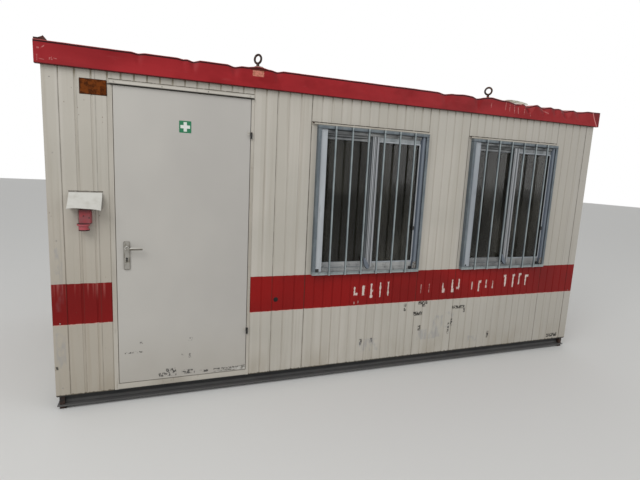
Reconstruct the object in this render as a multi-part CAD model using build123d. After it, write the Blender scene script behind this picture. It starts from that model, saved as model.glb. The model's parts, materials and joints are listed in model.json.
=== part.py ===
from build123d import *
import math
import os

# Portable site cabin, in millimetres. Z is up from the ground, the door side faces -Y, and X runs
# along the door side from left to right. The origin is under the middle of the whole outline.
# Places along the door side are written as distances from its left end, heights on the walls as
# heights over the walls' bottom edge.

# A cutting shape runs this far past the face that it opens
OVERCUT = 1

# Whole cabin
LENGTH = 5000
DEPTH = 2400
WALL_BASE = 108

# Wall panels: ribbed outer sheet on a core, with a grooved lining inside
PANEL_THICK = 50
RIB_PITCH = 87
RIB_DEPTH = 3
RIB_FLOOR = 8
RIB_SLOPE = 3
CORNER_TRIM = 93
LINING_THICK = 10
LINING_PITCH = 200
LINING_GROOVE = 3
LINING_GROOVE_FLOOR = 0.6
LINING_SEAM = 2
LINING_END_GAP = 0.3

# Base frame and floor
FOOT_SIZE = 44
FOOT_INSET = 17
RAIL_FOOT_GAP = 24
FLANGE_THICK = 8
RAIL_SETBACK = 50
WEB_THICK = 6
FLANGE_INSET = 3
JOIST_SPACING = 600
JOIST_WIDTH = 45
JOIST_HEIGHT = 100
JOIST_SHEET = 4
DECK_THICK = 22
DECK_TOP = 150

# Roof
CEILING_THICK = 20
CEILING_UNDER = 34
ROOF_RAIL_HEIGHT = 120
ROOF_RAIL_SHEET = 4
FASCIA_OUT = 30
END_FASCIA_OUT = 4
FASCIA_HEIGHT = 144.5
FASCIA_SHEET = 3
FASCIA_LIP_IN = 40
ROOF_RIB_PITCH = 250
ROOF_RIB_DEPTH = 14
ROOF_RIB_FLOOR = 190
ROOF_RIB_SLOPE = 15

# Lifting eyes
EYE_RING_RADIUS = 31
EYE_RING_SIDES = 12
EYE_BAR_RADIUS = 9
EYE_BAR_SIDES = 6
EYE_STEM_RADIUS = 13
EYE_STEM_SIDES = 8
EYE_COLLAR_RADIUS = 26
EYE_COLLAR_SIDES = 12
EYE_COLLAR_THICK = 9
EYE_RISE = 74
EYE_FROM_END_LEFT = 1427
EYE_FROM_END_RIGHT = 1391
EYE_TURNS = (39, 32, 40, 75)

# Door
DOOR_FROM_END = 423
DOOR_WIDTH = 955
DOOR_HEIGHT = 2178
DOOR_OVER_WALL_BASE = 50
LEAF_THICK = 40
DOOR_GAP = 5
SILL_CLEARANCE = 1
JAMB_LEFT_FACE = 29
JAMB_RIGHT_FACE = 22
HEAD_FACE = 31
PANEL_OVER_DOOR = 47
STOP_REACH = 18
SILL_LOW = 6
DRIP_WIDTH = 1000
DRIP_HEIGHT = 24
DRIP_OUT = 18
DRIP_SHEET = 3
DRIP_OVER_LEAF = 9

# Door hinges
PIN_OUT = 10
PIN_BESIDE = 6
PIN_RADIUS = 4
PIN_CLEARANCE = 0.1
KNUCKLE_RADIUS = 8
KNUCKLE_LENGTH = 24
KNUCKLE_GAP = 1
HINGE_PLATE_THICK = 4
HINGE_PLATE_REACH = 30
HINGE_PLATE_INSET = 1
HINGE_OVER_BASE = (389, 1958)

# Lock
LOCK_FROM_EDGE = 68
SPINDLE_OVER_BASE = 1093
PLATE_WIDTH = 43
PLATE_HEIGHT = 210
PLATE_DROP = 160
PLATE_THICK = 8
SPINDLE_RADIUS = 6
NECK_RADIUS = 9
NECK_CLEARANCE = 0.3
NECK_LENGTH = 20
LEVER_OUT = 48
LEVER_LENGTH = 108
LEVER_HEIGHT = 17
LEVER_THICK = 10
LEVER_BEND = 16
KEYHOLE_DROP = 80
KEYHOLE_RADIUS = 4
KEYHOLE_SLOT_WIDTH = 4
KEYHOLE_SLOT = 10
KEYHOLE_DEEP = 5

# Windows
WINDOW_WIDTH = 1010
WINDOW_OVER_BASE = 855
PANEL_OVER_WINDOW = 241
WINDOW_MARGINS = ((70, 35), (62, 21))
PIER_SHIFTS = (39, 6)
FRAME_LEFT_FACE = 60
FRAME_RIGHT_FACE = 42
FRAME_FACE = 40
MULLION_WIDTH = 57
MULLION_SHIFT = 5
TRACK_THICK = 24
FRAME_LIP = 4
SASH_STILE = 58
SASH_RAIL = 46
SASH_THICK = 20
SASH_SIDE_OVERLAP = 52
SASH_RAIL_OVERLAP = 15
SASH_GAP = 1
GLASS_THICK = 5
GLASS_HOLD = 8
FLASHING_HEIGHT = 14
FLASHING_OUT = 18
FLASHING_OVER_GRILLE = 5

# Roller blind guides on each window's face, left and right
GUIDE_INSETS = (6, 8)
GUIDE_WIDTHS = (55, 42)
GUIDE_OUT = 22
GUIDE_BEVEL = 12
GUIDE_END_GAP = 13

# Window grilles: how far they reach past the window, and how far each is off its middle
GRILLE_SIDE = 19
GRILLE_OVER = 13
GRILLE_UNDER = 15
GRILLE_SHIFTS = (-4, -14)
ANGLE_LEG = 26
ANGLE_SHEET = 4
GRILLE_OUT = 40
BAR_RADIUS = 9
BAR_SIDES = 12
BAR_COUNT = 6
BAR_LET_IN = 3

# Rain hood and power inlet
HOOD_FROM_END = 133
HOOD_WIDTH = 210
HOOD_OUT = 120
HOOD_TOP = 1493
HOOD_DROP = 114
HOOD_SHEET = 2.5
INLET_FROM_END = 197
INLET_WIDTH = 75
INLET_OUT = 62
INLET_TOP = 1376
INLET_BOTTOM = 1277
INLET_CORNER = 10
BARREL_RADIUS = 31
BARREL_WALL = 4
BARREL_LENGTH = 44
BARREL_FROM_WALL = 44
BARREL_SHIFT = 12
COLLAR_RADIUS = 41
COLLAR_THICK = 12
SOCKET_DEEP = 34
LID_THICK = 5
LID_GAP = 0.5
LID_HINGE_RADIUS = 4
LID_PIN_RADIUS = 2
LID_PIN_CLEARANCE = 0.1
LID_EAR = 10
LID_EAR_THICK = 5

# The hood reaches further from its wall than the fascia does, so the walls stand back a little
SHIFT = (HOOD_OUT - FASCIA_OUT) / 2
FRONT = SHIFT - DEPTH / 2
REAR = FRONT + DEPTH
LEFT = -LENGTH / 2
RIGHT = LENGTH / 2
LEAF_BOTTOM = WALL_BASE + DOOR_OVER_WALL_BASE
LEAF_TOP = LEAF_BOTTOM + DOOR_HEIGHT
HEAD_TOP = LEAF_TOP + DOOR_GAP + HEAD_FACE
WALL_TOP = HEAD_TOP + PANEL_OVER_DOOR
WALL_HEIGHT = WALL_TOP - WALL_BASE
ROOM_FACE = PANEL_THICK + LINING_THICK
CEILING_Z = WALL_TOP - CEILING_UNDER
ROOF_TOP = WALL_TOP + FASCIA_HEIGHT - FASCIA_SHEET

# Door side layout, as distances from the left end
DOOR_END = DOOR_FROM_END + DOOR_WIDTH
JAMB_OUTER_LEFT = DOOR_FROM_END - DOOR_GAP - JAMB_LEFT_FACE
JAMB_OUTER_RIGHT = DOOR_END + DOOR_GAP + JAMB_RIGHT_FACE
BAYS = [left + WINDOW_WIDTH + right for left, right in WINDOW_MARGINS]
PIER = (LENGTH - CORNER_TRIM - JAMB_OUTER_RIGHT - sum(BAYS)) / (len(BAYS) + 1)
BAY_STARTS = [JAMB_OUTER_RIGHT + PIER + PIER_SHIFTS[0]]
BAY_STARTS += [BAY_STARTS[0] + BAYS[0] + PIER + PIER_SHIFTS[1]]
BAY_ENDS = [start + bay for start, bay in zip(BAY_STARTS, BAYS)]
WINDOW_STARTS = [start + margin[0] for start, margin in zip(BAY_STARTS, WINDOW_MARGINS)]
WINDOW_BOTTOM = WALL_BASE + WINDOW_OVER_BASE
WINDOW_TOP = WALL_TOP - PANEL_OVER_WINDOW


def save(node, *solids):
    """Write one node's solids to its STEP file."""
    shape = solids[0] if len(solids) == 1 else Compound(children=list(solids))
    export_step(shape, "parts/" + node + ".step")


def block(x, y, z):
    """A box given by its two limits along each axis."""
    size = [max(pair) - min(pair) for pair in (x, y, z)]
    middle = [(pair[0] + pair[1]) / 2 for pair in (x, y, z)]
    return Pos(*middle) * Box(*size)


def prism(points, length, axis=(0, 0, 1), plane=Plane.XY):
    """A closed outline on a plane, drawn out along an axis."""
    face = plane * make_face(Polyline(*points, close=True))
    return extrude(face, length, dir=axis)


def rod(start, end, radius):
    """A round bar from one point to another."""
    direction = Vector(*end) - Vector(*start)
    plane = Plane(origin=start, z_dir=direction)
    return extrude(plane * Circle(radius), direction.length, dir=direction.normalized())


def upright_bar(x, y, low, high, radius, sides):
    """An upright bar of flat sides, its edges at a radius."""
    return Pos(x, y, low) * extrude(RegularPolygon(radius, sides), high - low)


def front(x):
    """X of a distance from the left end of the door side."""
    return LEFT + x


def folded_outline(width, thick, pitch, floor, slope, depth):
    """Outline of a panel whose -Y face has whole ribs, starting and ending in half a groove."""
    count = max(1, round(width / pitch))
    step = width / count
    points = [(0, thick), (0, depth)]
    for index in range(count):
        start = index * step
        points.append((start + floor / 2, depth))
        points.append((start + floor / 2 + slope, 0))
        points.append((start + step - floor / 2 - slope, 0))
        points.append((start + step - floor / 2, depth))
    points += [(width, depth), (width, thick)]
    return points


def wall_panel(width, low, high):
    """A ribbed sandwich panel standing from low to high, with its outer face on local Y = 0."""
    points = folded_outline(width, PANEL_THICK, RIB_PITCH, RIB_FLOOR, RIB_SLOPE, RIB_DEPTH)
    return Pos(0, 0, low) * prism(points, high - low)


def lining_board(width, low, high):
    """Grooved lining, its plain back on local Y = 0 and its grooves towards +Y."""
    fold = (LINING_PITCH, LINING_GROOVE_FLOOR, LINING_GROOVE, LINING_GROOVE)
    points = folded_outline(width, LINING_THICK, *fold)
    flipped = [(x, LINING_THICK - y) for x, y in points]
    return Pos(0, 0, low) * prism(flipped, high - low)


def front_panel(start, end, low=WALL_BASE, high=WALL_TOP):
    """A panel of the door side between two distances from the left end."""
    return Pos(front(start), FRONT, 0) * wall_panel(end - start, low, high)


def mitred_run(points, length, depth):
    """A profile in YZ drawn out along +X from 0, its ends cut at 45 degrees in plan."""
    bar = prism(points, length, (1, 0, 0), Plane.YZ)
    low = min(z for y, z in points)
    high = max(z for y, z in points)
    plan = [(0, 0), (length, 0), (length - depth, depth), (depth, depth)]
    return bar & (Pos(0, 0, low) * prism(plan, high - low))


def around(front_x, front_y, long_piece, end_piece):
    """Place a pair of long pieces and a pair of end pieces round the cabin, corners outwards."""
    return (
        Pos(-front_x, FRONT - front_y, 0) * long_piece,
        Pos(front_x, REAR + front_y, 0) * Rot(0, 0, 180) * long_piece,
        Pos(-front_x, REAR + front_y, 0) * Rot(0, 0, -90) * end_piece,
        Pos(front_x, FRONT - front_y, 0) * Rot(0, 0, 90) * end_piece,
    )


# Base rails: outward channels with mitred corners, their web set back under the wall
RAIL_LOW = RAIL_FOOT_GAP
RAIL_TOP_FLANGE = WALL_BASE - FLANGE_THICK
RAIL_BACK = RAIL_SETBACK + WEB_THICK - FLANGE_INSET


def rail_outline():
    """The base channel's profile, with local Y = 0 at the flanges' outer edge."""
    web = RAIL_SETBACK - FLANGE_INSET
    return [
        (0, RAIL_LOW),
        (RAIL_BACK, RAIL_LOW),
        (RAIL_BACK, WALL_BASE),
        (0, WALL_BASE),
        (0, RAIL_TOP_FLANGE),
        (web, RAIL_TOP_FLANGE),
        (web, RAIL_LOW + FLANGE_THICK),
        (0, RAIL_LOW + FLANGE_THICK),
    ]


def base_rails():
    """The four base rails in their places: front, rear, left, right."""
    long_rail = mitred_run(rail_outline(), LENGTH - 2 * FLANGE_INSET, RAIL_BACK)
    end_rail = mitred_run(rail_outline(), DEPTH - 2 * FLANGE_INSET, RAIL_BACK)
    return around(RIGHT - FLANGE_INSET, -FLANGE_INSET, long_rail, end_rail)


def corner_spots(inset):
    """The four corners of the walls' plan, moved inwards by inset."""
    return [(x, y) for x in (LEFT + inset, RIGHT - inset) for y in (FRONT + inset, REAR - inset)]


def corner_blocks(low, high, shorten=0):
    """Square blocks at the four corners between two heights."""
    size = FOOT_SIZE - shorten
    middle = FOOT_INSET + size / 2
    height = high - low
    return [Pos(x, y, low + height / 2) * Box(size, size, height) for x, y in corner_spots(middle)]


def floor_joists():
    """Folded C joists between the long rails' webs."""
    inset = RAIL_SETBACK + WEB_THICK
    span = LENGTH - 2 * inset - JOIST_WIDTH
    count = round(span / JOIST_SPACING)
    low = DECK_TOP - DECK_THICK - JOIST_HEIGHT
    high = DECK_TOP - DECK_THICK
    section = [
        (0, low),
        (JOIST_WIDTH, low),
        (JOIST_WIDTH, low + JOIST_SHEET),
        (JOIST_SHEET, low + JOIST_SHEET),
        (JOIST_SHEET, high - JOIST_SHEET),
        (JOIST_WIDTH, high - JOIST_SHEET),
        (JOIST_WIDTH, high),
        (0, high),
    ]
    joist = prism(section, DEPTH - 2 * inset, (0, 1, 0), Plane.XZ)
    starts = [LEFT + inset + index * span / count for index in range(count + 1)]
    return [Pos(x, FRONT + inset, 0) * joist for x in starts]


def floor_deck():
    """The floor sheet, from wall core to wall core."""
    inset = PANEL_THICK
    x = (LEFT + inset, RIGHT - inset)
    y = (FRONT + inset, REAR - inset)
    return block(x, y, (DECK_TOP - DECK_THICK, DECK_TOP))


def corner_posts():
    """L-shaped corner posts with flat trims on both outer faces."""
    outer = CORNER_TRIM / 2
    core = CORNER_TRIM - PANEL_THICK
    posts = []
    for x, y in corner_spots(outer):
        post = Pos(x, y, WALL_BASE + WALL_HEIGHT / 2) * Box(CORNER_TRIM, CORNER_TRIM, WALL_HEIGHT)
        inward = (math.copysign(PANEL_THICK / 2, -x), math.copysign(PANEL_THICK / 2, SHIFT - y))
        room = Pos(x + inward[0], y + inward[1], WALL_BASE + WALL_HEIGHT / 2)
        posts.append(post - room * Box(core, core, WALL_HEIGHT))
    return posts


def window_side_strips():
    """Flat strips of wall between each window and the seams of its bay."""
    strips = []
    for start, end, window in zip(BAY_STARTS, BAY_ENDS, WINDOW_STARTS):
        for x in ((start, window), (window + WINDOW_WIDTH, end)):
            along = (front(x[0]), front(x[1]))
            strips.append(block(along, (FRONT, FRONT + PANEL_THICK), (WINDOW_BOTTOM, WINDOW_TOP)))
    return strips


def front_lining():
    """Lining boards of the door side, with seams beside the door and the windows."""
    first, second = WINDOW_STARTS
    pieces = [
        (PANEL_THICK, JAMB_OUTER_LEFT, DECK_TOP, CEILING_Z),
        (JAMB_OUTER_LEFT, JAMB_OUTER_RIGHT, HEAD_TOP, CEILING_Z),
        (JAMB_OUTER_RIGHT, first, DECK_TOP, CEILING_Z),
        (first, first + WINDOW_WIDTH, DECK_TOP, WINDOW_BOTTOM),
        (first, first + WINDOW_WIDTH, WINDOW_TOP, CEILING_Z),
        (first + WINDOW_WIDTH, second, DECK_TOP, CEILING_Z),
        (second, second + WINDOW_WIDTH, DECK_TOP, WINDOW_BOTTOM),
        (second, second + WINDOW_WIDTH, WINDOW_TOP, CEILING_Z),
        (second + WINDOW_WIDTH, LENGTH - PANEL_THICK, DECK_TOP, CEILING_Z),
    ]
    half = LINING_SEAM / 2
    boards = []
    for start, end, low, high in pieces:
        board = lining_board(end - start - 2 * half, low, high)
        boards.append(Pos(front(start + half), FRONT + PANEL_THICK, 0) * board)
    return boards


def plain_linings():
    """Lining of the rear wall and of the two end walls."""
    rear = lining_board(LENGTH - 2 * PANEL_THICK, DECK_TOP, CEILING_Z)
    rear = Pos(RIGHT - PANEL_THICK, REAR - PANEL_THICK, 0) * Rot(0, 0, 180) * rear
    end_width = DEPTH - 2 * ROOM_FACE - 2 * LINING_END_GAP
    end = lining_board(end_width, DECK_TOP, CEILING_Z)
    low_y = FRONT + ROOM_FACE + LINING_END_GAP
    left = Pos(LEFT + PANEL_THICK, low_y + end_width, 0) * Rot(0, 0, -90) * end
    right = Pos(RIGHT - PANEL_THICK, low_y, 0) * Rot(0, 0, 90) * end
    return rear, left, right


def ceiling():
    """The ceiling sheet on top of the linings."""
    x = (LEFT + PANEL_THICK, RIGHT - PANEL_THICK)
    y = (FRONT + PANEL_THICK, REAR - PANEL_THICK)
    return block(x, y, (CEILING_Z, CEILING_Z + CEILING_THICK))


# Roof frame: folded channels on the walls, open towards the room, mitred at the corners
def roof_rails():
    """The four roof rails in their places: front, rear, left, right."""
    high = WALL_TOP + ROOF_RAIL_HEIGHT
    section = [
        (0, WALL_TOP),
        (PANEL_THICK, WALL_TOP),
        (PANEL_THICK, WALL_TOP + ROOF_RAIL_SHEET),
        (ROOF_RAIL_SHEET, WALL_TOP + ROOF_RAIL_SHEET),
        (ROOF_RAIL_SHEET, high - ROOF_RAIL_SHEET),
        (PANEL_THICK, high - ROOF_RAIL_SHEET),
        (PANEL_THICK, high),
        (0, high),
    ]
    long_rail = mitred_run(section, LENGTH, PANEL_THICK)
    end_rail = mitred_run(section, DEPTH, PANEL_THICK)
    return around(RIGHT, 0, long_rail, end_rail)


def roof_deck():
    """Ribbed roof sheet lying on the roof rails."""
    base = WALL_TOP + ROOF_RAIL_HEIGHT
    thick = ROOF_TOP - base
    points = folded_outline(
        LENGTH, thick, ROOF_RIB_PITCH, ROOF_RIB_FLOOR, ROOF_RIB_SLOPE, ROOF_RIB_DEPTH
    )
    section = [(x + LEFT, ROOF_TOP - y) for x, y in points]
    return Pos(0, FRONT, 0) * prism(section, DEPTH, (0, 1, 0), Plane.XZ)


def fascia_run(out, length, flange):
    """Folded sheet along +X with its face on local Y = 0, a lip below and a flange on the roof."""
    high = WALL_TOP + FASCIA_HEIGHT
    section = [
        (0, WALL_TOP),
        (out, WALL_TOP),
        (out, WALL_TOP + FASCIA_SHEET),
        (FASCIA_SHEET, WALL_TOP + FASCIA_SHEET),
        (FASCIA_SHEET, high - FASCIA_SHEET),
        (out, high - FASCIA_SHEET),
        (out, high),
        (0, high),
    ]
    run = prism(section, length, (1, 0, 0), Plane.YZ)
    return run + block(flange, (out, out + FASCIA_LIP_IN), (high - FASCIA_SHEET, high))


def fascias():
    """The red fascia: long runs that stand past the end walls, boxed in there, and flat end runs."""
    length = LENGTH + 2 * FASCIA_OUT
    long_run = fascia_run(FASCIA_OUT, length, (FASCIA_OUT, length - FASCIA_OUT))
    height = (WALL_TOP, WALL_TOP + FASCIA_HEIGHT)
    back = (FASCIA_OUT - FASCIA_SHEET, FASCIA_OUT)
    for tip, turn in ((0, 1), (length, -1)):
        long_run = long_run + block((tip, tip + turn * FASCIA_SHEET), (0, FASCIA_OUT), height)
        long_run = long_run + block((tip, tip + turn * FASCIA_OUT), back, height)
    end_run = fascia_run(END_FASCIA_OUT, DEPTH, (FASCIA_LIP_IN, DEPTH - FASCIA_LIP_IN))
    return (
        Pos(LEFT - FASCIA_OUT, FRONT - FASCIA_OUT, 0) * long_run,
        Pos(RIGHT + FASCIA_OUT, REAR + FASCIA_OUT, 0) * Rot(0, 0, 180) * long_run,
        Pos(LEFT - END_FASCIA_OUT, REAR, 0) * Rot(0, 0, -90) * end_run,
        Pos(RIGHT + END_FASCIA_OUT, FRONT, 0) * Rot(0, 0, 90) * end_run,
    )


def eye_ring():
    """A forged ring of short straight stretches, lying flat on the origin."""
    path = RegularPolygon(EYE_RING_RADIUS, EYE_RING_SIDES).wire()
    start = Plane(origin=path.position_at(0), z_dir=path.tangent_at(0))
    section = start * RegularPolygon(EYE_BAR_RADIUS, EYE_BAR_SIDES)
    return sweep(section, path=path, transition=Transition.RIGHT)


def lifting_eyes():
    """Eye bolts on the roof edge, each ring turned its own way."""
    base = WALL_TOP + FASCIA_HEIGHT
    inset = FASCIA_LIP_IN / 2
    xs = (front(EYE_FROM_END_LEFT), RIGHT - EYE_FROM_END_RIGHT)
    spots = [(x, y) for y in (FRONT + inset, REAR - inset) for x in xs]
    eyes = []
    for (x, y), turn in zip(spots, EYE_TURNS):
        ring = Pos(0, 0, EYE_RISE) * Rot(0, 90, 0) * eye_ring()
        stem_top = EYE_RISE - EYE_RING_RADIUS
        stem = upright_bar(0, 0, 0, stem_top, EYE_STEM_RADIUS, EYE_STEM_SIDES)
        collar = upright_bar(0, 0, 0, EYE_COLLAR_THICK, EYE_COLLAR_RADIUS, EYE_COLLAR_SIDES)
        eyes.append(Pos(x, y, base) * Rot(0, 0, turn) * (ring + stem + collar))
    return eyes


# Door frame
OPENING_LEFT = DOOR_FROM_END - DOOR_GAP
OPENING_RIGHT = DOOR_END + DOOR_GAP
STOP_FACE = FRONT + LEAF_THICK + DOOR_GAP
FRAME_BACK = FRONT + ROOM_FACE
SILL_TOP = LEAF_BOTTOM - DOOR_GAP - SILL_CLEARANCE


def door_jambs():
    """Rebated side posts of the door frame: the leaf lies in front of their stops."""
    jambs = []
    sides = ((JAMB_OUTER_LEFT, OPENING_LEFT, 1), (JAMB_OUTER_RIGHT, OPENING_RIGHT, -1))
    for outer, inner, turn in sides:
        stop = inner + turn * (DOOR_GAP + STOP_REACH)
        points = [
            (front(outer), FRONT),
            (front(inner), FRONT),
            (front(inner), STOP_FACE),
            (front(stop), STOP_FACE),
            (front(stop), FRAME_BACK),
            (front(outer), FRAME_BACK),
        ]
        jamb = Pos(0, 0, WALL_BASE) * prism(points, HEAD_TOP - WALL_BASE)
        deck_edge = (FRONT + PANEL_THICK, FRAME_BACK)
        ends = (front(outer), front(stop))
        jambs.append(jamb - block(ends, deck_edge, (WALL_BASE, DECK_TOP)))
    return jambs


def door_head():
    """Rebated head of the door frame, between the jambs."""
    low = LEAF_TOP + DOOR_GAP
    stop = low - DOOR_GAP - STOP_REACH
    x = (front(OPENING_LEFT), front(OPENING_RIGHT))
    face = block(x, (FRONT, STOP_FACE), (low, HEAD_TOP))
    reach = DOOR_GAP + STOP_REACH
    inner = (x[0] + reach, x[1] - reach)
    return face + block(inner, (STOP_FACE, FRAME_BACK), (stop, HEAD_TOP))


def door_sill():
    """Threshold between the jambs: a low front strip and a stop behind the leaf."""
    reach = DOOR_GAP + STOP_REACH
    x = (front(OPENING_LEFT), front(OPENING_RIGHT))
    strip = block(x, (FRONT, STOP_FACE), (WALL_BASE, SILL_TOP))
    toe = block(x, (FRONT, FRONT + FLANGE_INSET), (WALL_BASE, WALL_BASE + SILL_LOW))
    inner = (x[0] + reach, x[1] - reach)
    stop = block(inner, (STOP_FACE, FRONT + PANEL_THICK), (WALL_BASE, LEAF_BOTTOM + STOP_REACH))
    return strip - toe + stop


def drip_strip():
    """Folded drip strip over the door."""
    middle = front(DOOR_FROM_END + DOOR_WIDTH / 2)
    x = (middle - DRIP_WIDTH / 2, middle + DRIP_WIDTH / 2)
    low = LEAF_TOP + DRIP_OVER_LEAF
    flange = block(x, (FRONT - DRIP_SHEET, FRONT), (low, low + DRIP_HEIGHT))
    shelf = block(x, (FRONT - DRIP_OUT, FRONT), (low, low + DRIP_SHEET))
    nose = block(x, (FRONT - DRIP_OUT, FRONT - DRIP_OUT + DRIP_SHEET), (low - DRIP_SHEET, low))
    return flange + shelf + nose


# Door leaf and its hinges
PIN_X = front(DOOR_END + PIN_BESIDE)
PIN_Y = FRONT - PIN_OUT
SPINDLE_X = front(DOOR_FROM_END + LOCK_FROM_EDGE)
SPINDLE_Z = WALL_BASE + SPINDLE_OVER_BASE


def door_leaf():
    """Flat leaf with the bore that the lever's spindle runs through."""
    x = (front(DOOR_FROM_END), front(DOOR_END))
    leaf = block(x, (FRONT, FRONT + LEAF_THICK), (LEAF_BOTTOM, LEAF_TOP))
    start = (SPINDLE_X, FRONT - OVERCUT, SPINDLE_Z)
    end = (SPINDLE_X, FRONT + LEAF_THICK + OVERCUT, SPINDLE_Z)
    return leaf - rod(start, end, NECK_RADIUS + NECK_CLEARANCE)


def knuckle(low, high, reach, bored):
    """One hinge half: a knuckle with a plate that reaches along X, bored or with the pin."""
    half = rod((PIN_X, PIN_Y, low), (PIN_X, PIN_Y, high), KNUCKLE_RADIUS)
    near = PIN_X + math.copysign(PIN_RADIUS / 2, reach)
    plate = block((near, PIN_X + reach), (FRONT - HINGE_PLATE_THICK, FRONT), (low, high))
    half = half + plate
    if bored:
        bore = PIN_RADIUS + PIN_CLEARANCE
        return half - rod((PIN_X, PIN_Y, low - OVERCUT), (PIN_X, PIN_Y, high - PIN_RADIUS), bore)
    top = high + KNUCKLE_GAP + KNUCKLE_LENGTH - 2 * PIN_RADIUS
    return half + rod((PIN_X, PIN_Y, low), (PIN_X, PIN_Y, top), PIN_RADIUS)


def frame_hinges():
    """Lower hinge halves on the frame, with their pins."""
    reach = JAMB_RIGHT_FACE - PIN_BESIDE + DOOR_GAP - HINGE_PLATE_INSET
    lows = [WALL_BASE + middle - KNUCKLE_LENGTH for middle in HINGE_OVER_BASE]
    return [knuckle(low, low + KNUCKLE_LENGTH, reach, False) for low in lows]


def leaf_hinges():
    """Upper hinge halves on the leaf."""
    lows = [WALL_BASE + middle + KNUCKLE_GAP for middle in HINGE_OVER_BASE]
    return [knuckle(low, low + KNUCKLE_LENGTH, -HINGE_PLATE_REACH, True) for low in lows]


def lock_plates():
    """Long lock plates on both faces of the leaf, with the lever's bore and a keyhole."""
    low = SPINDLE_Z - PLATE_DROP
    x = (SPINDLE_X - PLATE_WIDTH / 2, SPINDLE_X + PLATE_WIDTH / 2)
    plates = []
    for face, out in ((FRONT, -1), (FRONT + LEAF_THICK, 1)):
        plate = block(x, (face, face + out * PLATE_THICK), (low, low + PLATE_HEIGHT))
        plate = fillet(plate.edges().filter_by(Axis.Y), PLATE_THICK)
        start = (SPINDLE_X, face - out * OVERCUT, SPINDLE_Z)
        end = (SPINDLE_X, face + out * (PLATE_THICK + OVERCUT), SPINDLE_Z)
        plate = plate - rod(start, end, NECK_RADIUS + NECK_CLEARANCE)
        key_z = SPINDLE_Z - KEYHOLE_DROP
        surface = face + out * PLATE_THICK
        deep = surface - out * KEYHOLE_DEEP
        past = surface + out * OVERCUT
        plate = plate - rod((SPINDLE_X, deep, key_z), (SPINDLE_X, past, key_z), KEYHOLE_RADIUS)
        half_slot = KEYHOLE_SLOT_WIDTH / 2
        slot_x = (SPINDLE_X - half_slot, SPINDLE_X + half_slot)
        plate = plate - block(slot_x, (deep, past), (key_z - KEYHOLE_SLOT, key_z))
        plates.append(plate)
    return plates


def lever_handles():
    """Both bent levers of flat bar on their round necks and common spindle, as one piece."""
    levers = rod((SPINDLE_X, FRONT, SPINDLE_Z), (SPINDLE_X, FRONT + LEAF_THICK, SPINDLE_Z), SPINDLE_RADIUS)
    for face, out in ((FRONT, -1), (FRONT + LEAF_THICK, 1)):
        inside = (SPINDLE_X, face - out * OVERCUT, SPINDLE_Z)
        neck_end = (SPINDLE_X, face + out * NECK_LENGTH, SPINDLE_Z)
        levers = levers + rod(inside, neck_end, NECK_RADIUS)
        far = face + out * LEVER_OUT
        root = (SPINDLE_X, face + out * (NECK_LENGTH - OVERCUT), SPINDLE_Z)
        corner = (SPINDLE_X, far, SPINDLE_Z)
        tip = (SPINDLE_X + LEVER_LENGTH, far, SPINDLE_Z)
        path = FilletPolyline(root, corner, tip, radius=LEVER_BEND)
        start = Plane(origin=root, x_dir=(0, 0, 1), z_dir=(0, out, 0))
        levers = levers + sweep(start * Rectangle(LEVER_HEIGHT, LEVER_THICK), path=path)
    return levers


# Windows: a fixed pane on the right of the mullion, a sliding sash on the left behind it
def ring(x, y, z, face_x, face_z):
    """A flat rectangular ring given by its outer limits and the width of its sides."""
    inner_x = (x[0] + face_x, x[1] - face_x)
    inner_z = (z[0] + face_z, z[1] - face_z)
    return block(x, y, z) - block(inner_x, y, inner_z)


def blind_guides(x, z):
    """The blind's two guides on a window frame given by its limits, the right one bevelled."""
    face = FRONT - FRAME_LIP
    out = face - GUIDE_OUT
    low, high = z[0] + GUIDE_END_GAP, z[1] - GUIDE_END_GAP
    left = x[0] + GUIDE_INSETS[0]
    right = x[1] - GUIDE_INSETS[1]
    near = right - GUIDE_WIDTHS[1]
    section = [(right, face), (right, out), (near + GUIDE_BEVEL, out), (near, face)]
    bevelled = Pos(0, 0, low) * prism(section, high - low)
    return block((left, left + GUIDE_WIDTHS[0]), (out, face), (low, high)), bevelled


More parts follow.
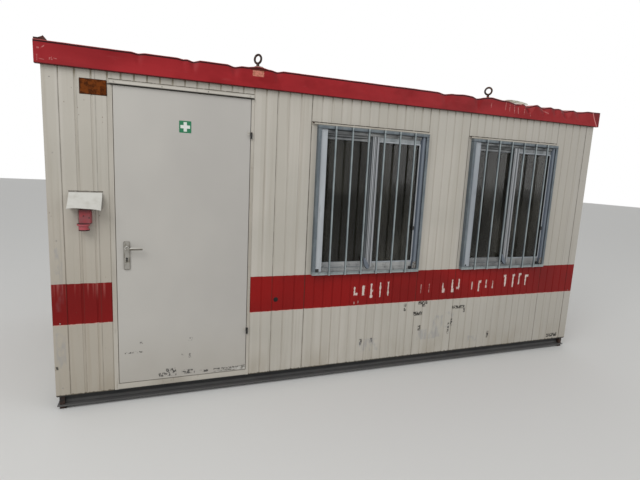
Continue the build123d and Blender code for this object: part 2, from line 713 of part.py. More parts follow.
def window_parts(start):
    """Frame with its guides, sliding sash and the two panes of a window that starts at a distance."""
    x = (front(start), front(start + WINDOW_WIDTH))
    z = (WINDOW_BOTTOM, WINDOW_TOP)
    y = (FRONT - FRAME_LIP, FRAME_BACK)
    inner_x = (x[0] + FRAME_LEFT_FACE, x[1] - FRAME_RIGHT_FACE)
    inner_z = (z[0] + FRAME_FACE, z[1] - FRAME_FACE)
    frame = block(x, y, z) - block(inner_x, y, inner_z)
    middle = (x[0] + x[1]) / 2 + MULLION_SHIFT
    mullion_x = (middle - MULLION_WIDTH / 2, middle + MULLION_WIDTH / 2)
    track = (FRONT - FRAME_LIP, FRONT - FRAME_LIP + TRACK_THICK)
    frame = frame + block(mullion_x, track, inner_z)
    pane_z = (inner_z[0] + SASH_RAIL, inner_z[1] - SASH_RAIL)
    for rail_z in ((inner_z[0], pane_z[0]), (pane_z[1], inner_z[1])):
        frame = frame + block((mullion_x[1], inner_x[1]), track, rail_z)

    held_z = (pane_z[0] - GLASS_HOLD, pane_z[1] + GLASS_HOLD)
    pane_y = (track[0] + TRACK_THICK / 2, track[0] + TRACK_THICK / 2 + GLASS_THICK)
    right_pane = block((mullion_x[1] - GLASS_HOLD, inner_x[1] + GLASS_HOLD), pane_y, held_z)
    frame = frame - right_pane

    sash_y = (track[1] + SASH_GAP, track[1] + SASH_GAP + SASH_THICK)
    sash_x = (inner_x[0] - SASH_SIDE_OVERLAP, mullion_x[0] + SASH_STILE - SASH_GAP)
    sash_z = (inner_z[0] - SASH_RAIL_OVERLAP, inner_z[1] + SASH_RAIL_OVERLAP)
    sash = ring(sash_x, sash_y, sash_z, SASH_STILE, SASH_RAIL + SASH_RAIL_OVERLAP)
    frame = frame - block(sash_x, sash_y, sash_z)
    for guide in blind_guides(x, z):
        frame = frame + guide

    pane_y = (sash_y[0] + SASH_THICK / 2, sash_y[0] + SASH_THICK / 2 + GLASS_THICK)
    reach = SASH_STILE - GLASS_HOLD
    left_pane = block((sash_x[0] + reach, sash_x[1] - reach), pane_y, held_z)
    sash = sash - left_pane
    return frame, sash, (left_pane, right_pane)


def window_flashing(start, end):
    """Sloping-nosed flashing over a window and its grille, from seam to seam of its bay."""
    low = WINDOW_TOP + GRILLE_OVER + FLASHING_OVER_GRILLE
    section = [
        (FRONT, low),
        (FRONT, low + FLASHING_HEIGHT),
        (FRONT - DRIP_SHEET, low + FLASHING_HEIGHT),
        (FRONT - FLASHING_OUT, low + DRIP_SHEET),
        (FRONT - FLASHING_OUT, low),
    ]
    return Pos(front(start), 0, 0) * prism(section, end - start, (1, 0, 0), Plane.YZ)


def window_grille(start, shift):
    """Angle frame that stands off the wall round a window, with upright round bars."""
    x = (front(start - GRILLE_SIDE + shift), front(start + WINDOW_WIDTH + GRILLE_SIDE + shift))
    z = (WINDOW_BOTTOM - GRILLE_UNDER, WINDOW_TOP + GRILLE_OVER)
    face = FRONT - GRILLE_OUT
    grille = ring(x, (face, face + ANGLE_SHEET), z, ANGLE_LEG, ANGLE_LEG)
    grille = grille + ring(x, (face, FRONT), z, ANGLE_SHEET, ANGLE_SHEET)
    step = (x[1] - x[0]) / (BAR_COUNT + 1)
    bar_y = face - BAR_RADIUS + BAR_LET_IN
    for index in range(BAR_COUNT):
        bar_x = x[0] + step * (index + 1)
        grille = grille + upright_bar(bar_x, bar_y, z[0], z[1], BAR_RADIUS, BAR_SIDES)
    return grille


# Rain hood and power inlet
def inlet_hood():
    """Sheet hood with closed cheeks, open underneath."""
    top = WALL_BASE + HOOD_TOP
    low = top - HOOD_DROP
    x = front(HOOD_FROM_END)
    outer = [(FRONT, low), (FRONT, top), (FRONT - HOOD_OUT, low)]
    wedge = Pos(x, 0, 0) * prism(outer, HOOD_WIDTH, (1, 0, 0), Plane.YZ)
    slope = HOOD_SHEET * math.hypot(HOOD_OUT, HOOD_DROP) / HOOD_OUT
    back = FRONT - HOOD_SHEET
    inner = [
        (back, low - OVERCUT),
        (back, top - slope - HOOD_SHEET * HOOD_DROP / HOOD_OUT),
        (FRONT - HOOD_OUT, low - slope),
        (FRONT - HOOD_OUT, low - slope - OVERCUT),
    ]
    hollow = prism(inner, HOOD_WIDTH - 2 * HOOD_SHEET, (1, 0, 0), Plane.YZ)
    return wedge - (Pos(x + HOOD_SHEET, 0, 0) * hollow)


BARREL_X = front(INLET_FROM_END + INLET_WIDTH / 2 - BARREL_SHIFT)
BARREL_Y = FRONT - BARREL_FROM_WALL
BARREL_TOP = WALL_BASE + INLET_BOTTOM
BARREL_END = BARREL_TOP - BARREL_LENGTH
LID_X = BARREL_X + BARREL_RADIUS + LID_HINGE_RADIUS + LID_GAP
LID_Z = BARREL_END


def power_inlet():
    """Wall inlet: a rounded box, a collar and a barrel whose mouth points down."""
    x = (front(INLET_FROM_END), front(INLET_FROM_END + INLET_WIDTH))
    box = block(x, (FRONT - INLET_OUT, FRONT), (BARREL_TOP, WALL_BASE + INLET_TOP))
    box = fillet(box.edges().filter_by(Axis.Z).group_by(Axis.Y)[0], INLET_CORNER)
    spot = (BARREL_X, BARREL_Y)
    collar = rod((*spot, BARREL_TOP), (*spot, BARREL_TOP - COLLAR_THICK), COLLAR_RADIUS)
    barrel = rod((*spot, BARREL_TOP), (*spot, BARREL_END), BARREL_RADIUS)
    inside = BARREL_RADIUS - BARREL_WALL
    hollow = rod((*spot, BARREL_END + SOCKET_DEEP), (*spot, BARREL_END - OVERCUT), inside)
    body = box + collar + barrel - hollow
    root = LID_X - LID_HINGE_RADIUS - LID_GAP - BARREL_WALL
    for side in (-1, 1):
        near = BARREL_Y + side * LID_EAR
        far = near + side * LID_EAR_THICK
        body = body + block((root, LID_X), (near, far), (LID_Z, LID_Z + 2 * LID_HINGE_RADIUS))
        body = body + rod((LID_X, near, LID_Z), (LID_X, far, LID_Z), LID_HINGE_RADIUS)
    reach = LID_EAR + LID_EAR_THICK
    return body + rod((LID_X, BARREL_Y - reach, LID_Z), (LID_X, BARREL_Y + reach, LID_Z), LID_PIN_RADIUS)


def inlet_lid():
    """Round lid under the barrel's mouth, with the knuckle that turns on the pin."""
    top = BARREL_END - LID_GAP
    spot = (BARREL_X, BARREL_Y)
    disc = rod((*spot, top), (*spot, top - LID_THICK), BARREL_RADIUS)
    half = LID_EAR - LID_GAP
    low = top - LID_THICK
    arm = block((BARREL_X + BARREL_RADIUS - LID_EAR, LID_X), (BARREL_Y - half, BARREL_Y + half), (low, top))
    barrel = rod((LID_X, BARREL_Y - half, LID_Z), (LID_X, BARREL_Y + half, LID_Z), LID_HINGE_RADIUS)
    lid = disc + arm + barrel
    radius = LID_PIN_RADIUS + LID_PIN_CLEARANCE
    past = half + OVERCUT
    return lid - rod((LID_X, BARREL_Y - past, LID_Z), (LID_X, BARREL_Y + past, LID_Z), radius)


def main():
    """Build every sub-part and write its file."""
    os.makedirs("parts", exist_ok=True)
    save("corner_feet", *corner_blocks(0, RAIL_LOW))
    shorten = FOOT_SIZE + FOOT_INSET - RAIL_SETBACK
    save("rail_stiffeners", *corner_blocks(RAIL_LOW + FLANGE_THICK, RAIL_TOP_FLANGE, shorten))
    front_rail, rear_rail, left_rail, right_rail = base_rails()
    save("base_rails_long", front_rail, rear_rail)
    save("base_rails_end", left_rail, right_rail)
    save("floor_joists", *floor_joists())
    save("floor_deck", floor_deck())
    save("corner_posts", *corner_posts())

    save("front_wall_left", front_panel(CORNER_TRIM, JAMB_OUTER_LEFT))
    save("front_wall_over_door", front_panel(JAMB_OUTER_LEFT, JAMB_OUTER_RIGHT, HEAD_TOP))
    save("front_wall_beside_door", front_panel(JAMB_OUTER_RIGHT, BAY_STARTS[0]))
    for side, start, end in zip(("left", "right"), BAY_STARTS, BAY_ENDS):
        save("front_wall_over_window_" + side, front_panel(start, end, WINDOW_TOP))
        save("front_wall_under_window_" + side, front_panel(start, end, WALL_BASE, WINDOW_BOTTOM))
    save("front_wall_between_windows", front_panel(BAY_ENDS[0], BAY_STARTS[1]))
    save("front_wall_right", front_panel(BAY_ENDS[1], LENGTH - CORNER_TRIM))
    save("window_side_strips", *window_side_strips())
    long_wall = wall_panel(LENGTH - 2 * CORNER_TRIM, WALL_BASE, WALL_TOP)
    end_wall = wall_panel(DEPTH - 2 * CORNER_TRIM, WALL_BASE, WALL_TOP)
    trim = CORNER_TRIM
    save("rear_wall", Pos(RIGHT - trim, REAR, 0) * Rot(0, 0, 180) * long_wall)
    save("left_end_wall", Pos(LEFT, REAR - trim, 0) * Rot(0, 0, -90) * end_wall)
    save("right_end_wall", Pos(RIGHT, FRONT + trim, 0) * Rot(0, 0, 90) * end_wall)
    save("front_lining", *front_lining())
    rear_lining, left_lining, right_lining = plain_linings()
    save("rear_lining", rear_lining)
    save("end_linings", left_lining, right_lining)

    save("ceiling", ceiling())
    front_rail, rear_rail, left_rail, right_rail = roof_rails()
    save("roof_rails_long", front_rail, rear_rail)
    save("roof_rails_end", left_rail, right_rail)
    save("roof_deck", roof_deck())
    for name, run in zip(("front", "rear", "left", "right"), fascias()):
        save("fascia_" + name, run)
    save("lifting_eyes", *lifting_eyes())

    save("door_jambs", *door_jambs())
    save("door_head", door_head())
    save("door_sill", door_sill())
    save("drip_strip", drip_strip())
    save("frame_hinges", *frame_hinges())
    save("leaf_hinges", *leaf_hinges())
    save("door_leaf", door_leaf())
    save("lock_plates", *lock_plates())
    save("lever_handles", lever_handles())

    frames, sashes, panes = zip(*[window_parts(start) for start in WINDOW_STARTS])
    save("window_frames", *frames)
    save("sliding_sashes", *sashes)
    save("window_glass", *[pane for pair in panes for pane in pair])
    save("window_flashings", *[window_flashing(*bay) for bay in zip(BAY_STARTS, BAY_ENDS)])
    for side, start, shift in zip(("left", "right"), WINDOW_STARTS, GRILLE_SHIFTS):
        save("window_grille_" + side, window_grille(start, shift))

    save("inlet_hood", inlet_hood())
    save("power_inlet", power_inlet())
    save("inlet_lid", inlet_lid())


main()
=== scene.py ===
# %% [markdown]
# A portable site cabin, dressed for its portrait.
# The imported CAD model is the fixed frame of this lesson: walls, door, windows, grilles and rails are
# already there at their real size. Blender adds what the eye looks for next: paint that has faded and
# chipped, bent sheet metal, rust, rubber, glass, and the small parts that hold it all together.
# Everything is in metres. X runs along the cabin, the door side looks towards -Y, and Z is up.

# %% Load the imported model
import functools
import json
import math

import bmesh
import bpy
import numpy as np
from mathutils import Matrix, Vector


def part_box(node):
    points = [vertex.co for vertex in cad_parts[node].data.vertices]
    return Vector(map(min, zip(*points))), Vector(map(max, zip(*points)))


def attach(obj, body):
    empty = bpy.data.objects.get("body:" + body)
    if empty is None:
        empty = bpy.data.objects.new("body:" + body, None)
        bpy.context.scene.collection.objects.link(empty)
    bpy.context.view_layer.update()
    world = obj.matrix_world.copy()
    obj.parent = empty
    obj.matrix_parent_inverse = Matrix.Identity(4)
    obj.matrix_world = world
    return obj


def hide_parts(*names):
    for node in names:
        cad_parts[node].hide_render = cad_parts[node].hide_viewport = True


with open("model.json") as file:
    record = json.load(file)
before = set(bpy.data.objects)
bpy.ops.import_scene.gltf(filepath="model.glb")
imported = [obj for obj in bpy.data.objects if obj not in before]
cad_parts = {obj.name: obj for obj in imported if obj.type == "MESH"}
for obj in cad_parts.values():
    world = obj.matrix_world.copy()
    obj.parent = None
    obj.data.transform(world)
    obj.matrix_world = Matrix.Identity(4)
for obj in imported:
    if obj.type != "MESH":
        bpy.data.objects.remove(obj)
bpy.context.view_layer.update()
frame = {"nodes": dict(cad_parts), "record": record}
nodes = frame["nodes"]

# %% [markdown]
# The places that later cells build on are read from the frame, never typed in twice: where the wall
# sheets start, where the outer face of each wall stands, and how long and deep the cabin is.

# %% Main places of the cabin
WALL_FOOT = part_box("front_wall_left")[0].z
posts_low, posts_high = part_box("corner_posts")
FRONT_Y, REAR_Y = posts_low.y, posts_high.y
LEFT_X, RIGHT_X = posts_low.x, posts_high.x
WALL_LONG, WALL_DEEP = RIGHT_X - LEFT_X, REAR_Y - FRONT_Y
print("front wall from", round(LEFT_X, 3), "to", round(RIGHT_X, 3), "at y", round(FRONT_Y, 3))

# %% [markdown]
# The camera stands where the photographer stood, a little to the left of the cabin and at eye height,
# with the slightly rolled hand-held frame that such a snapshot has. The position and the three axes
# were worked out from the vanishing points of the cabin's edges. A camera could also be aimed with a
# constraint, but the roll would be lost, so the matrix is set directly.

# %% Camera
CAMERA_AT = Vector((-1.8024, -4.5652, 1.8164))
CAMERA_RIGHT = Vector((0.93636, -0.34772, 0.04846))
CAMERA_UP = Vector((0.00885, 0.16137, 0.98687))
CAMERA_BACK = Vector((-0.35097, -0.92364, 0.15417))
LENS_MM, SENSOR_MM = 24.47, 36.0
stage = bpy.context.scene

camera = bpy.data.objects.new("camera", bpy.data.cameras.new("camera"))
camera.data.lens, camera.data.sensor_width = LENS_MM, SENSOR_MM
turn = Matrix((CAMERA_RIGHT, CAMERA_UP, CAMERA_BACK)).transposed().to_4x4()
camera.matrix_world = Matrix.Translation(CAMERA_AT) @ turn
stage.collection.objects.link(camera)
stage.camera = camera
stage.view_settings.view_transform = "Standard"
print("camera at", tuple(round(v, 2) for v in CAMERA_AT), "lens", LENS_MM, "mm")

# %% [markdown]
# Shaders are written as sums in Python. A Socket wraps one output of a node and turns +, -, * and /
# into Math nodes, so a line such as 1 - mask * 0.5 builds the nodes that work it out. It can also ease
# into a mask, or lie as a colour under a coat of another. A Finish is one material in the making: its
# node() method adds any other node, settings first and sockets after.

# %% Shader sums
def sums(operation, turned=False):
    """A method that adds the Math node of that operation, its values the other way round if turned."""
    def method(self, *others):
        values = (self, *others)[::-1] if turned else (self, *others)
        return self.finish.node("ShaderNodeMath", {"operation": operation}, dict(enumerate(values)))
    return method


class Socket:
    """One output of a node, which takes part in arithmetic with other sockets and plain numbers."""

    __add__ = __radd__ = sums("ADD")
    __mul__ = __rmul__ = sums("MULTIPLY")
    __sub__, __rsub__ = sums("SUBTRACT"), sums("SUBTRACT", True)
    __truediv__, __rtruediv__ = sums("DIVIDE"), sums("DIVIDE", True)
    __abs__, fraction = sums("ABSOLUTE"), sums("FRACT")
    most, least = sums("MAXIMUM"), sums("MINIMUM")

    def __init__(self, finish, output):
        self.finish, self.output = finish, output

    def ease(self, low, high):
        """0 below low, 1 above high, smooth between; low may be the larger, which turns it round."""
        settings = {"interpolation_type": "SMOOTHSTEP", "clamp": False}
        sockets = {"Value": self, "From Min": low, "From Max": high}
        return self.finish.node("ShaderNodeMapRange", settings, sockets)

    def between(self, low, high, soft):
        """1 from low to high, fading over soft on both sides."""
        return self.ease(low - soft, low) * self.ease(high + soft, high)

    def within(self, middle, half, soft):
        """1 up to half away from the middle, fading over soft."""
        return self.between(middle - half, middle + half, soft)

    def coat(self, share, *shade):
        """This colour under a coat as thick as share: three screen values, or another socket's colour."""
        return self.finish.mix(share, self, shade[0] if len(shade) == 1 else shade)


def strongest(marks):
    """The strongest of several marks at each place."""
    return functools.reduce(Socket.most, marks)


def spots(along, up, places, soft):
    """The strongest of soft boxes, each given by its middle and its half sizes."""
    return strongest(along.within(x, wide, soft) * up.within(z, tall, soft) for x, z, wide, tall in places)


def srgb(red, green, blue):
    """A screen colour, 0 to 255 a channel, as the linear colour that a shader reads."""
    share = np.array([red, green, blue]) / 255
    linear = np.where(share <= 0.04045, share / 12.92, ((share + 0.055) / 1.055) ** 2.4)
    return (*linear.tolist(), 1.0)


print("screen grey 128 is", round(srgb(128, 128, 128)[0], 3), "to a shader")

# %% Finishes as nodes
class Nodes:
    """The node tree of a material or a world, with the one method that adds a node to it."""

    def __init__(self, owner):
        owner.use_nodes = True
        self.tree = owner.node_tree
        self.tree.nodes.clear()

    def node(self, kind, settings, sockets, output=0):
        """Adds a node: its settings first, then its sockets' values or links; returns one output."""
        made = self.tree.nodes.new(kind)
        for key, value in settings.items():
            setattr(made, key, value)
        for key, value in sockets.items():
            if isinstance(value, Socket):
                self.tree.links.new(value.output, made.inputs[key])
            else:
                made.inputs[key].default_value = value
        return Socket(self, made.outputs[output]) if made.outputs else None


class Finish(Nodes):
    """One material: its nodes, the object's own coordinates, and the patterns that finishes share."""

    def __init__(self, name):
        self.material = bpy.data.materials.new(name)
        super().__init__(self.material)
        self.place = self.node("ShaderNodeTexCoord", {}, {}, "Object")
        outputs = self.node("ShaderNodeSeparateXYZ", {}, {"Vector": self.place}).output.node.outputs
        self.x, self.y, self.z = (Socket(self, outputs[axis]) for axis in "XYZ")

    def noise(self, scale, detail=2.0, stretch=(1, 1, 1), rough=0.5):
        """Cloudy noise from 0 to 1; stretch scales each axis, so a small number draws it out there."""
        spot = self.node("ShaderNodeMapping", {}, {"Vector": self.place, "Scale": stretch})
        return self.node("ShaderNodeTexNoise", {}, {
            "Vector": spot, "Scale": scale, "Detail": detail, "Roughness": rough})

    def specks(self, scale, stretch=(1, 1, 1)):
        """Distance to the nearest of scattered points, in cells."""
        spot = self.node("ShaderNodeMapping", {}, {"Vector": self.place, "Scale": stretch})
        return self.node("ShaderNodeTexVoronoi", {}, {"Vector": spot, "Scale": scale}, "Distance")

    def mix(self, share, first, second):
        """The first colour where share is 0, the second where it is 1."""
        first, second = (c if isinstance(c, Socket) else srgb(*c) for c in (first, second))
        settings = {"data_type": "RGBA", "clamp_factor": True}
        return self.node("ShaderNodeMix", settings, {0: share, 6: first, 7: second}, 2)

    def coat(self, share, *shade):
        """Lays one more coat on the finish's colour."""
        self.colour = self.colour.coat(share, *shade)

    def base(self, first, second, low, high, *noise):
        """The first colour below low, the second above high, in the clouds of a noise, which it returns."""
        cloud = self.noise(*noise)
        self.colour = self.mix(cloud.ease(low, high), first, second)
        return cloud

    def stain(self, strength, shade, low, high, *noise):
        """A coat in the patches where a noise passes from low to high; it returns the patches."""
        patch = self.noise(*noise).ease(low, high)
        self.coat(patch * strength, *shade)
        return patch

    def surface(self, roughness, metallic=0.0, bump=None, bump_height=0.001, gloss=0.5, alpha=1.0):
        """Ends the material in one Principled shader of its colour; bump is a height from 0 to 1."""
        sockets = {"Base Color": self.colour, "Roughness": roughness, "Metallic": metallic,
                   "Specular IOR Level": gloss, "Alpha": alpha}
        if bump is not None:
            sockets["Normal"] = self.node("ShaderNodeBump", {}, {
                "Height": bump, "Distance": bump_height, "Strength": 1.0})
        shader = self.node("ShaderNodeBsdfPrincipled", {}, sockets)
        self.node("ShaderNodeOutputMaterial", {}, {"Surface": shader})
        return self.material


print("sockets add Math nodes, finishes add the rest")

# %% [markdown]
# A product picture needs a floor that catches the shadow and a backdrop that stays out of the way.
# One pale sheet does both. Its far part only has to look white, and it must not light the cabin more
# than the world does: so the world is white to the camera, to mirrors and to glass, and weaker to
# everything else. Two large soft lamps give the walls their faint falloff from left to right.

# %% Floor, world and lamps
FLOOR_REACH = 40.0
SKY_LEVEL = 0.62
KEY_WATTS, FILL_WATTS, LAMP_SIZE = 330, 110, 5.0


def floor_sheet():
    """A square of two triangles under the feet, FLOOR_REACH metres each way."""
    mesh = bpy.data.meshes.new("studio_floor")
    corners = [(x * FLOOR_REACH, y * FLOOR_REACH, 0) for x, y in ((-1, -1), (1, -1), (1, 1), (-1, 1))]
    mesh.from_pydata(corners, [], [(0, 1, 2, 3)])
    floor = bpy.data.objects.new("studio_floor", mesh)
    stage.collection.objects.link(floor)
    s = Finish("studio_floor")
    s.colour = srgb(212, 212, 210)
    mesh.materials.append(s.surface(0.9))


def sky():
    """White to camera, mirror and glass rays, SKY_LEVEL to the rays that light the object."""
    stage.world = bpy.data.worlds.new("studio")
    s = Nodes(stage.world)
    seen = strongest(s.node("ShaderNodeLightPath", {}, {}, f"Is {kind} Ray")
                     for kind in ("Camera", "Glossy", "Transmission"))
    level = s.node("ShaderNodeMapRange", {}, {"Value": seen, "To Min": SKY_LEVEL, "To Max": 1.0})
    light = s.node("ShaderNodeBackground", {}, {"Color": (1.0, 1.0, 1.0, 1.0), "Strength": level})
    s.node("ShaderNodeOutputWorld", {}, {"Surface": light})


def lamp(name, at, aim, watts):
    """A square soft lamp at one point and turned towards another."""
    data = bpy.data.lights.new(name, "AREA")
    data.shape, data.size, data.energy = "SQUARE", LAMP_SIZE, watts
    made = bpy.data.objects.new(name, data)
    made.location = at
    made.rotation_euler = (Vector(aim) - Vector(at)).to_track_quat("-Z", "Y").to_euler()
    stage.collection.objects.link(made)


floor_sheet()
sky()
lamp("key", (-5.5, -6.0, 7.0), (-0.8, 0, 1.2), KEY_WATTS)
lamp("fill", (6.0, -7.0, 4.0), (1.0, 0, 1.2), FILL_WATTS)
print("floor, world and two lamps")

# %% [markdown]
# Wall paint is one finish for all ribbed sheets. On the real cabin it is cream coil coating with a red
# band painted round it. Rain has left a little dirt in the grooves and thin dark lines at the seams,
# long faint streaks run down, the foot is splashed, and something long has scraped along the band and
# bared its ribs. The shader works on Object coordinates, so it follows the real place on the wall and
# needs no unwrapping; each mark is a stroke or a spot given by its measured place.

# %% Marks on the walls
BAND_FOOT, BAND_HEAD = WALL_FOOT + 0.54, WALL_FOOT + 0.84
SEAMS = (  # along the wall, darkness
    (0.093, 0.35), (0.203, 0.30), (0.314, 0.35), (1.588, 0.60), (1.874, 0.75), (2.990, 0.5),
    (3.428, 0.5), (4.521, 0.5), (4.907, 0.4))
CHIPS = (  # along the wall, foot and head of the bare streak, half width, strength
    (2.347, 0.637, 0.711, 0.005, 1.0), (2.434, 0.632, 0.716, 0.009, 1.0), (2.514, 0.609, 0.731, 0.006, 1.0),
    (2.606, 0.608, 0.736, 0.005, 1.0), (2.688, 0.613, 0.742, 0.005, 0.9), (3.043, 0.62, 0.70, 0.003, 0.4),
    (3.133, 0.62, 0.70, 0.003, 0.4), (3.290, 0.615, 0.706, 0.005, 0.8), (3.400, 0.610, 0.731, 0.007, 1.0),
    (3.477, 0.636, 0.738, 0.006, 0.9), (3.638, 0.628, 0.700, 0.005, 0.8), (3.722, 0.603, 0.707, 0.006, 0.9),
    (3.812, 0.636, 0.713, 0.006, 0.9), (3.896, 0.626, 0.703, 0.005, 0.8), (4.055, 0.639, 0.756, 0.007, 1.0),
    (4.156, 0.628, 0.758, 0.007, 1.0), (4.236, 0.653, 0.766, 0.006, 0.9), (4.323, 0.642, 0.746, 0.007, 1.0),
    (2.349, 0.556, 0.570, 0.003, 0.5), (2.388, 0.563, 0.577, 0.003, 0.4), (2.366, 0.637, 0.650, 0.010, 0.9),
    (2.436, 0.694, 0.712, 0.013, 0.9), (2.516, 0.606, 0.626, 0.012, 0.9), (2.520, 0.660, 0.672, 0.011, 0.8),
    (3.405, 0.610, 0.640, 0.013, 0.9), (3.302, 0.612, 0.650, 0.011, 0.8), (4.046, 0.735, 0.756, 0.015, 0.9),
    (4.168, 0.742, 0.758, 0.010, 0.8), (4.252, 0.748, 0.766, 0.013, 0.9), (4.340, 0.730, 0.746, 0.016, 0.9),
    (3.736, 0.690, 0.707, 0.012, 0.8), (3.460, 0.640, 0.655, 0.010, 0.7))
SCUFFS = (  # black rub marks: along the wall, height, half width, half height
    (2.884, 0.487, 0.006, 0.030), (3.03, 0.417, 0.045, 0.014), (3.079, 0.522, 0.045, 0.010),
    (3.09, 0.500, 0.010, 0.014), (3.495, 0.452, 0.065, 0.010), (3.57, 0.43, 0.005, 0.03),
    (4.80, 0.045, 0.07, 0.014), (2.44, 0.185, 0.006, 0.025), (2.547, 0.195, 0.006, 0.014),
    (3.898, 0.13, 0.006, 0.03), (3.397, 0.24, 0.004, 0.05), (3.06, 0.27, 0.010, 0.02),
    (3.43, 0.30, 0.005, 0.03), (0.012, 0.215, 0.005, 0.007))
SMEARS = (  # bluish rubs, the same four values
    (3.26, 0.27, 0.06, 0.10), (3.40, 0.33, 0.05, 0.07), (3.15, 0.20, 0.10, 0.04), (3.709, 0.107, 0.05, 0.02),
    (0.05, 0.9, 0.015, 0.25), (0.045, 0.35, 0.02, 0.12), (2.52, 0.15, 0.09, 0.05), (1.10, 0.9, 0.01, 0.2))
LEDGES = (  # dark cracked lines along the wall: from, to, height, strength
    (0.398, 1.402, 2.2625, 0.95), (1.876, 2.990, 2.103, 0.95), (3.428, 4.521, 2.103, 0.95),
    (0.133, 0.345, 1.4945, 0.8))
print(len(CHIPS), "chips,", len(SCUFFS) + len(SMEARS), "rubs,", len(SEAMS) + len(LEDGES), "dark lines")

# %% Wall paint
def bared(s, along, up):
    """Upright chips: a ragged line of varying width between its foot and head."""
    ragged = (s.noise(85.0, 3.0, (1, 1, 0.7), 0.7) - 0.5) * 0.030
    lumps = s.noise(34.0, 2.0, (0.2, 1, 1)) * 0.016 - 0.0085
    return strongest((abs(along - x + ragged * 0.35) - half - lumps).ease(0.0035, 0.0)
                     * (up + ragged).between(low, high, 0.006) * strength
                     for x, low, high, half, strength in CHIPS)


def dark_lines(s, along, up, on_front):
    """Seams down the wall, cracked lines along it, and the notched shadow at its foot."""
    seam = strongest(along.within(x, 0.0015, 0.003) * dark for x, dark in SEAMS) * on_front
    seam = seam * (0.55 + 0.45 * s.noise(11.0, 3.0, (0.2, 1, 1)).ease(0.35, 0.6))
    crack = s.noise(26.0, 4.0, (1, 1, 0.3), 0.7).ease(0.36, 0.48)
    wander = (s.noise(18.0, 3.0, (1, 1, 0.1), 0.6) - 0.5) * 0.006
    for left, right, height, strength in LEDGES:
        line = along.between(left, right, 0.004) * (up + wander).between(height, height + 0.005, 0.003)
        seam = seam.most(line * on_front * strength * (0.6 + 0.4 * crack))
    notches = (s.noise(45.0, 3.0, (1, 1, 0.2), 0.7) - 0.5) * 0.03
    return seam.most((up + notches).ease(0.010, 0.003) * 0.9)


def wall_paint():
    """Cream and red paint: band by height, grime by depth in the grooves with painted shade under the fascia,
    marks by place.
    """
    s = Finish("wall_paint")
    depth = (s.y - FRONT_Y).least(REAR_Y - s.y).least(s.x - LEFT_X).least(RIGHT_X - s.x)
    groove = depth.ease(0.0006, 0.0024)
    on_front = s.y.ease(FRONT_Y + 0.02, FRONT_Y + 0.012)
    along, up = s.x - LEFT_X, s.z - WALL_FOOT
    cloud = s.noise(0.9, 3.0, (1, 1, 1.6))
    streaks = s.noise(14.0, 3.0, (1, 1, 0.05), 0.6)
    grain = s.noise(60.0, 4.0, (1, 1, 0.6), 0.6)

    cream = s.mix(cloud.ease(0.3, 0.7), (187, 182, 173), (178, 174, 165))
    cream = cream.coat(along.ease(1.2, 0.1) * up.ease(2.0, 0.6) * 0.65, 160, 150, 135)
    # The wall turns greyer towards its right end: painted shade of the light's falloff.
    cream = cream.coat(along.ease(3.0, 4.9) * 0.6, 163, 159, 152)
    cream = cream.coat(s.noise(13.0, 2.0, (1, 1, 0.02)).ease(0.42, 0.58) * 0.35, 168, 163, 152)
    height = s.z + (s.noise(25.0, 2.0) - 0.5) * 0.006
    band = height.between(BAND_FOOT, BAND_HEAD, 0.0015)
    red = s.mix(cloud.ease(0.35, 0.65), (136, 11, 9), (118, 9, 8))
    red = red.coat(grain.ease(0.55, 0.8) * 0.3, 140, 30, 26)
    red = red.coat(along.ease(0.8, 0.3).most(along.ease(4.1, 4.7)) * 0.35, 96, 6, 6)
    s.colour = s.mix(band, cream, red)
    rim = height.between(BAND_FOOT - 0.004, BAND_FOOT, 0.002) * grain.ease(0.4, 0.6)
    s.coat(rim * 0.8, 204, 158, 148)

    # Grime in the grooves, heavier at the top left, with painted shade in the grooves under the fascia and a
    # painted shadow line right under its edge.
    high = up.ease(2.2, 2.31) * along.ease(1.2, 0.3)
    shade_under_fascia = up.ease(2.25, 2.30) * 0.5 + up.ease(2.296, 2.308) * 0.5
    dirt_and_shade = groove * (0.06 + 0.16 * streaks.ease(0.35, 0.7) + 0.5 * high + shade_under_fascia)
    dirt_and_shade = dirt_and_shade.most(up.ease(2.304, 2.310) * 0.45)
    s.coat(dirt_and_shade, s.mix(band, (132, 124, 108), (84, 16, 14)))
    s.coat(dark_lines(s, along, up, on_front), 56, 50, 42)
    foot = up.ease(0.28, 0.0) * s.noise(7.0, 4.0, (1, 1, 0.35)).ease(0.35, 0.75)
    s.coat(foot * 0.35, 138, 126, 106)
    runs = s.noise(30.0, 2.0, (1, 1, 0.025)).ease(0.58, 0.72) * (1 - band)
    s.coat(runs * 0.16, 131, 120, 101)
    rust = s.specks(34.0, (1, 1, 0.45)).ease(0.10, 0.05) * s.noise(4.0, 2.0).ease(0.5, 0.6)
    s.coat(rust * along.ease(0.5, 0.35) * 0.75, 92, 66, 50)

    bare = bared(s, along, up) * on_front
    faded = up.ease(0.70, 0.83) * along.ease(0.5, 0.4) * s.noise(45.0, 2.0, (1, 1, 0.03)).ease(0.5, 0.66)
    s.coat(faded * band * 0.3, 190, 120, 112)
    s.coat(bare, s.mix(grain.ease(0.4, 0.6), (214, 196, 190), (196, 186, 176)))
    black = spots(along, up, SCUFFS, 0.012) * on_front
    black = black * s.noise(60.0, 4.0, (1, 1, 1.2), 0.7).ease(0.43, 0.51)
    s.coat(black * 0.95, 34, 31, 29)
    smear = spots(along, up, SMEARS, 0.02) * on_front * s.noise(30.0, 3.0, (1, 1, 0.4)).ease(0.4, 0.65)
    s.coat(smear * (0.42 - 0.34 * band), 138, 140, 145)

    rough = 0.45 + 0.2 * groove + 0.2 * bare + 0.15 * streaks.ease(0.4, 0.8)
    ripple = s.noise(2.2, 2.0, (1, 1, 0.5)) * 0.8 + grain * 0.06
    return s.surface(rough, 0.0, ripple, 0.003, gloss=0.2)


print("wall paint, its band from", round(BAND_FOOT, 3), "to", round(BAND_HEAD, 3))
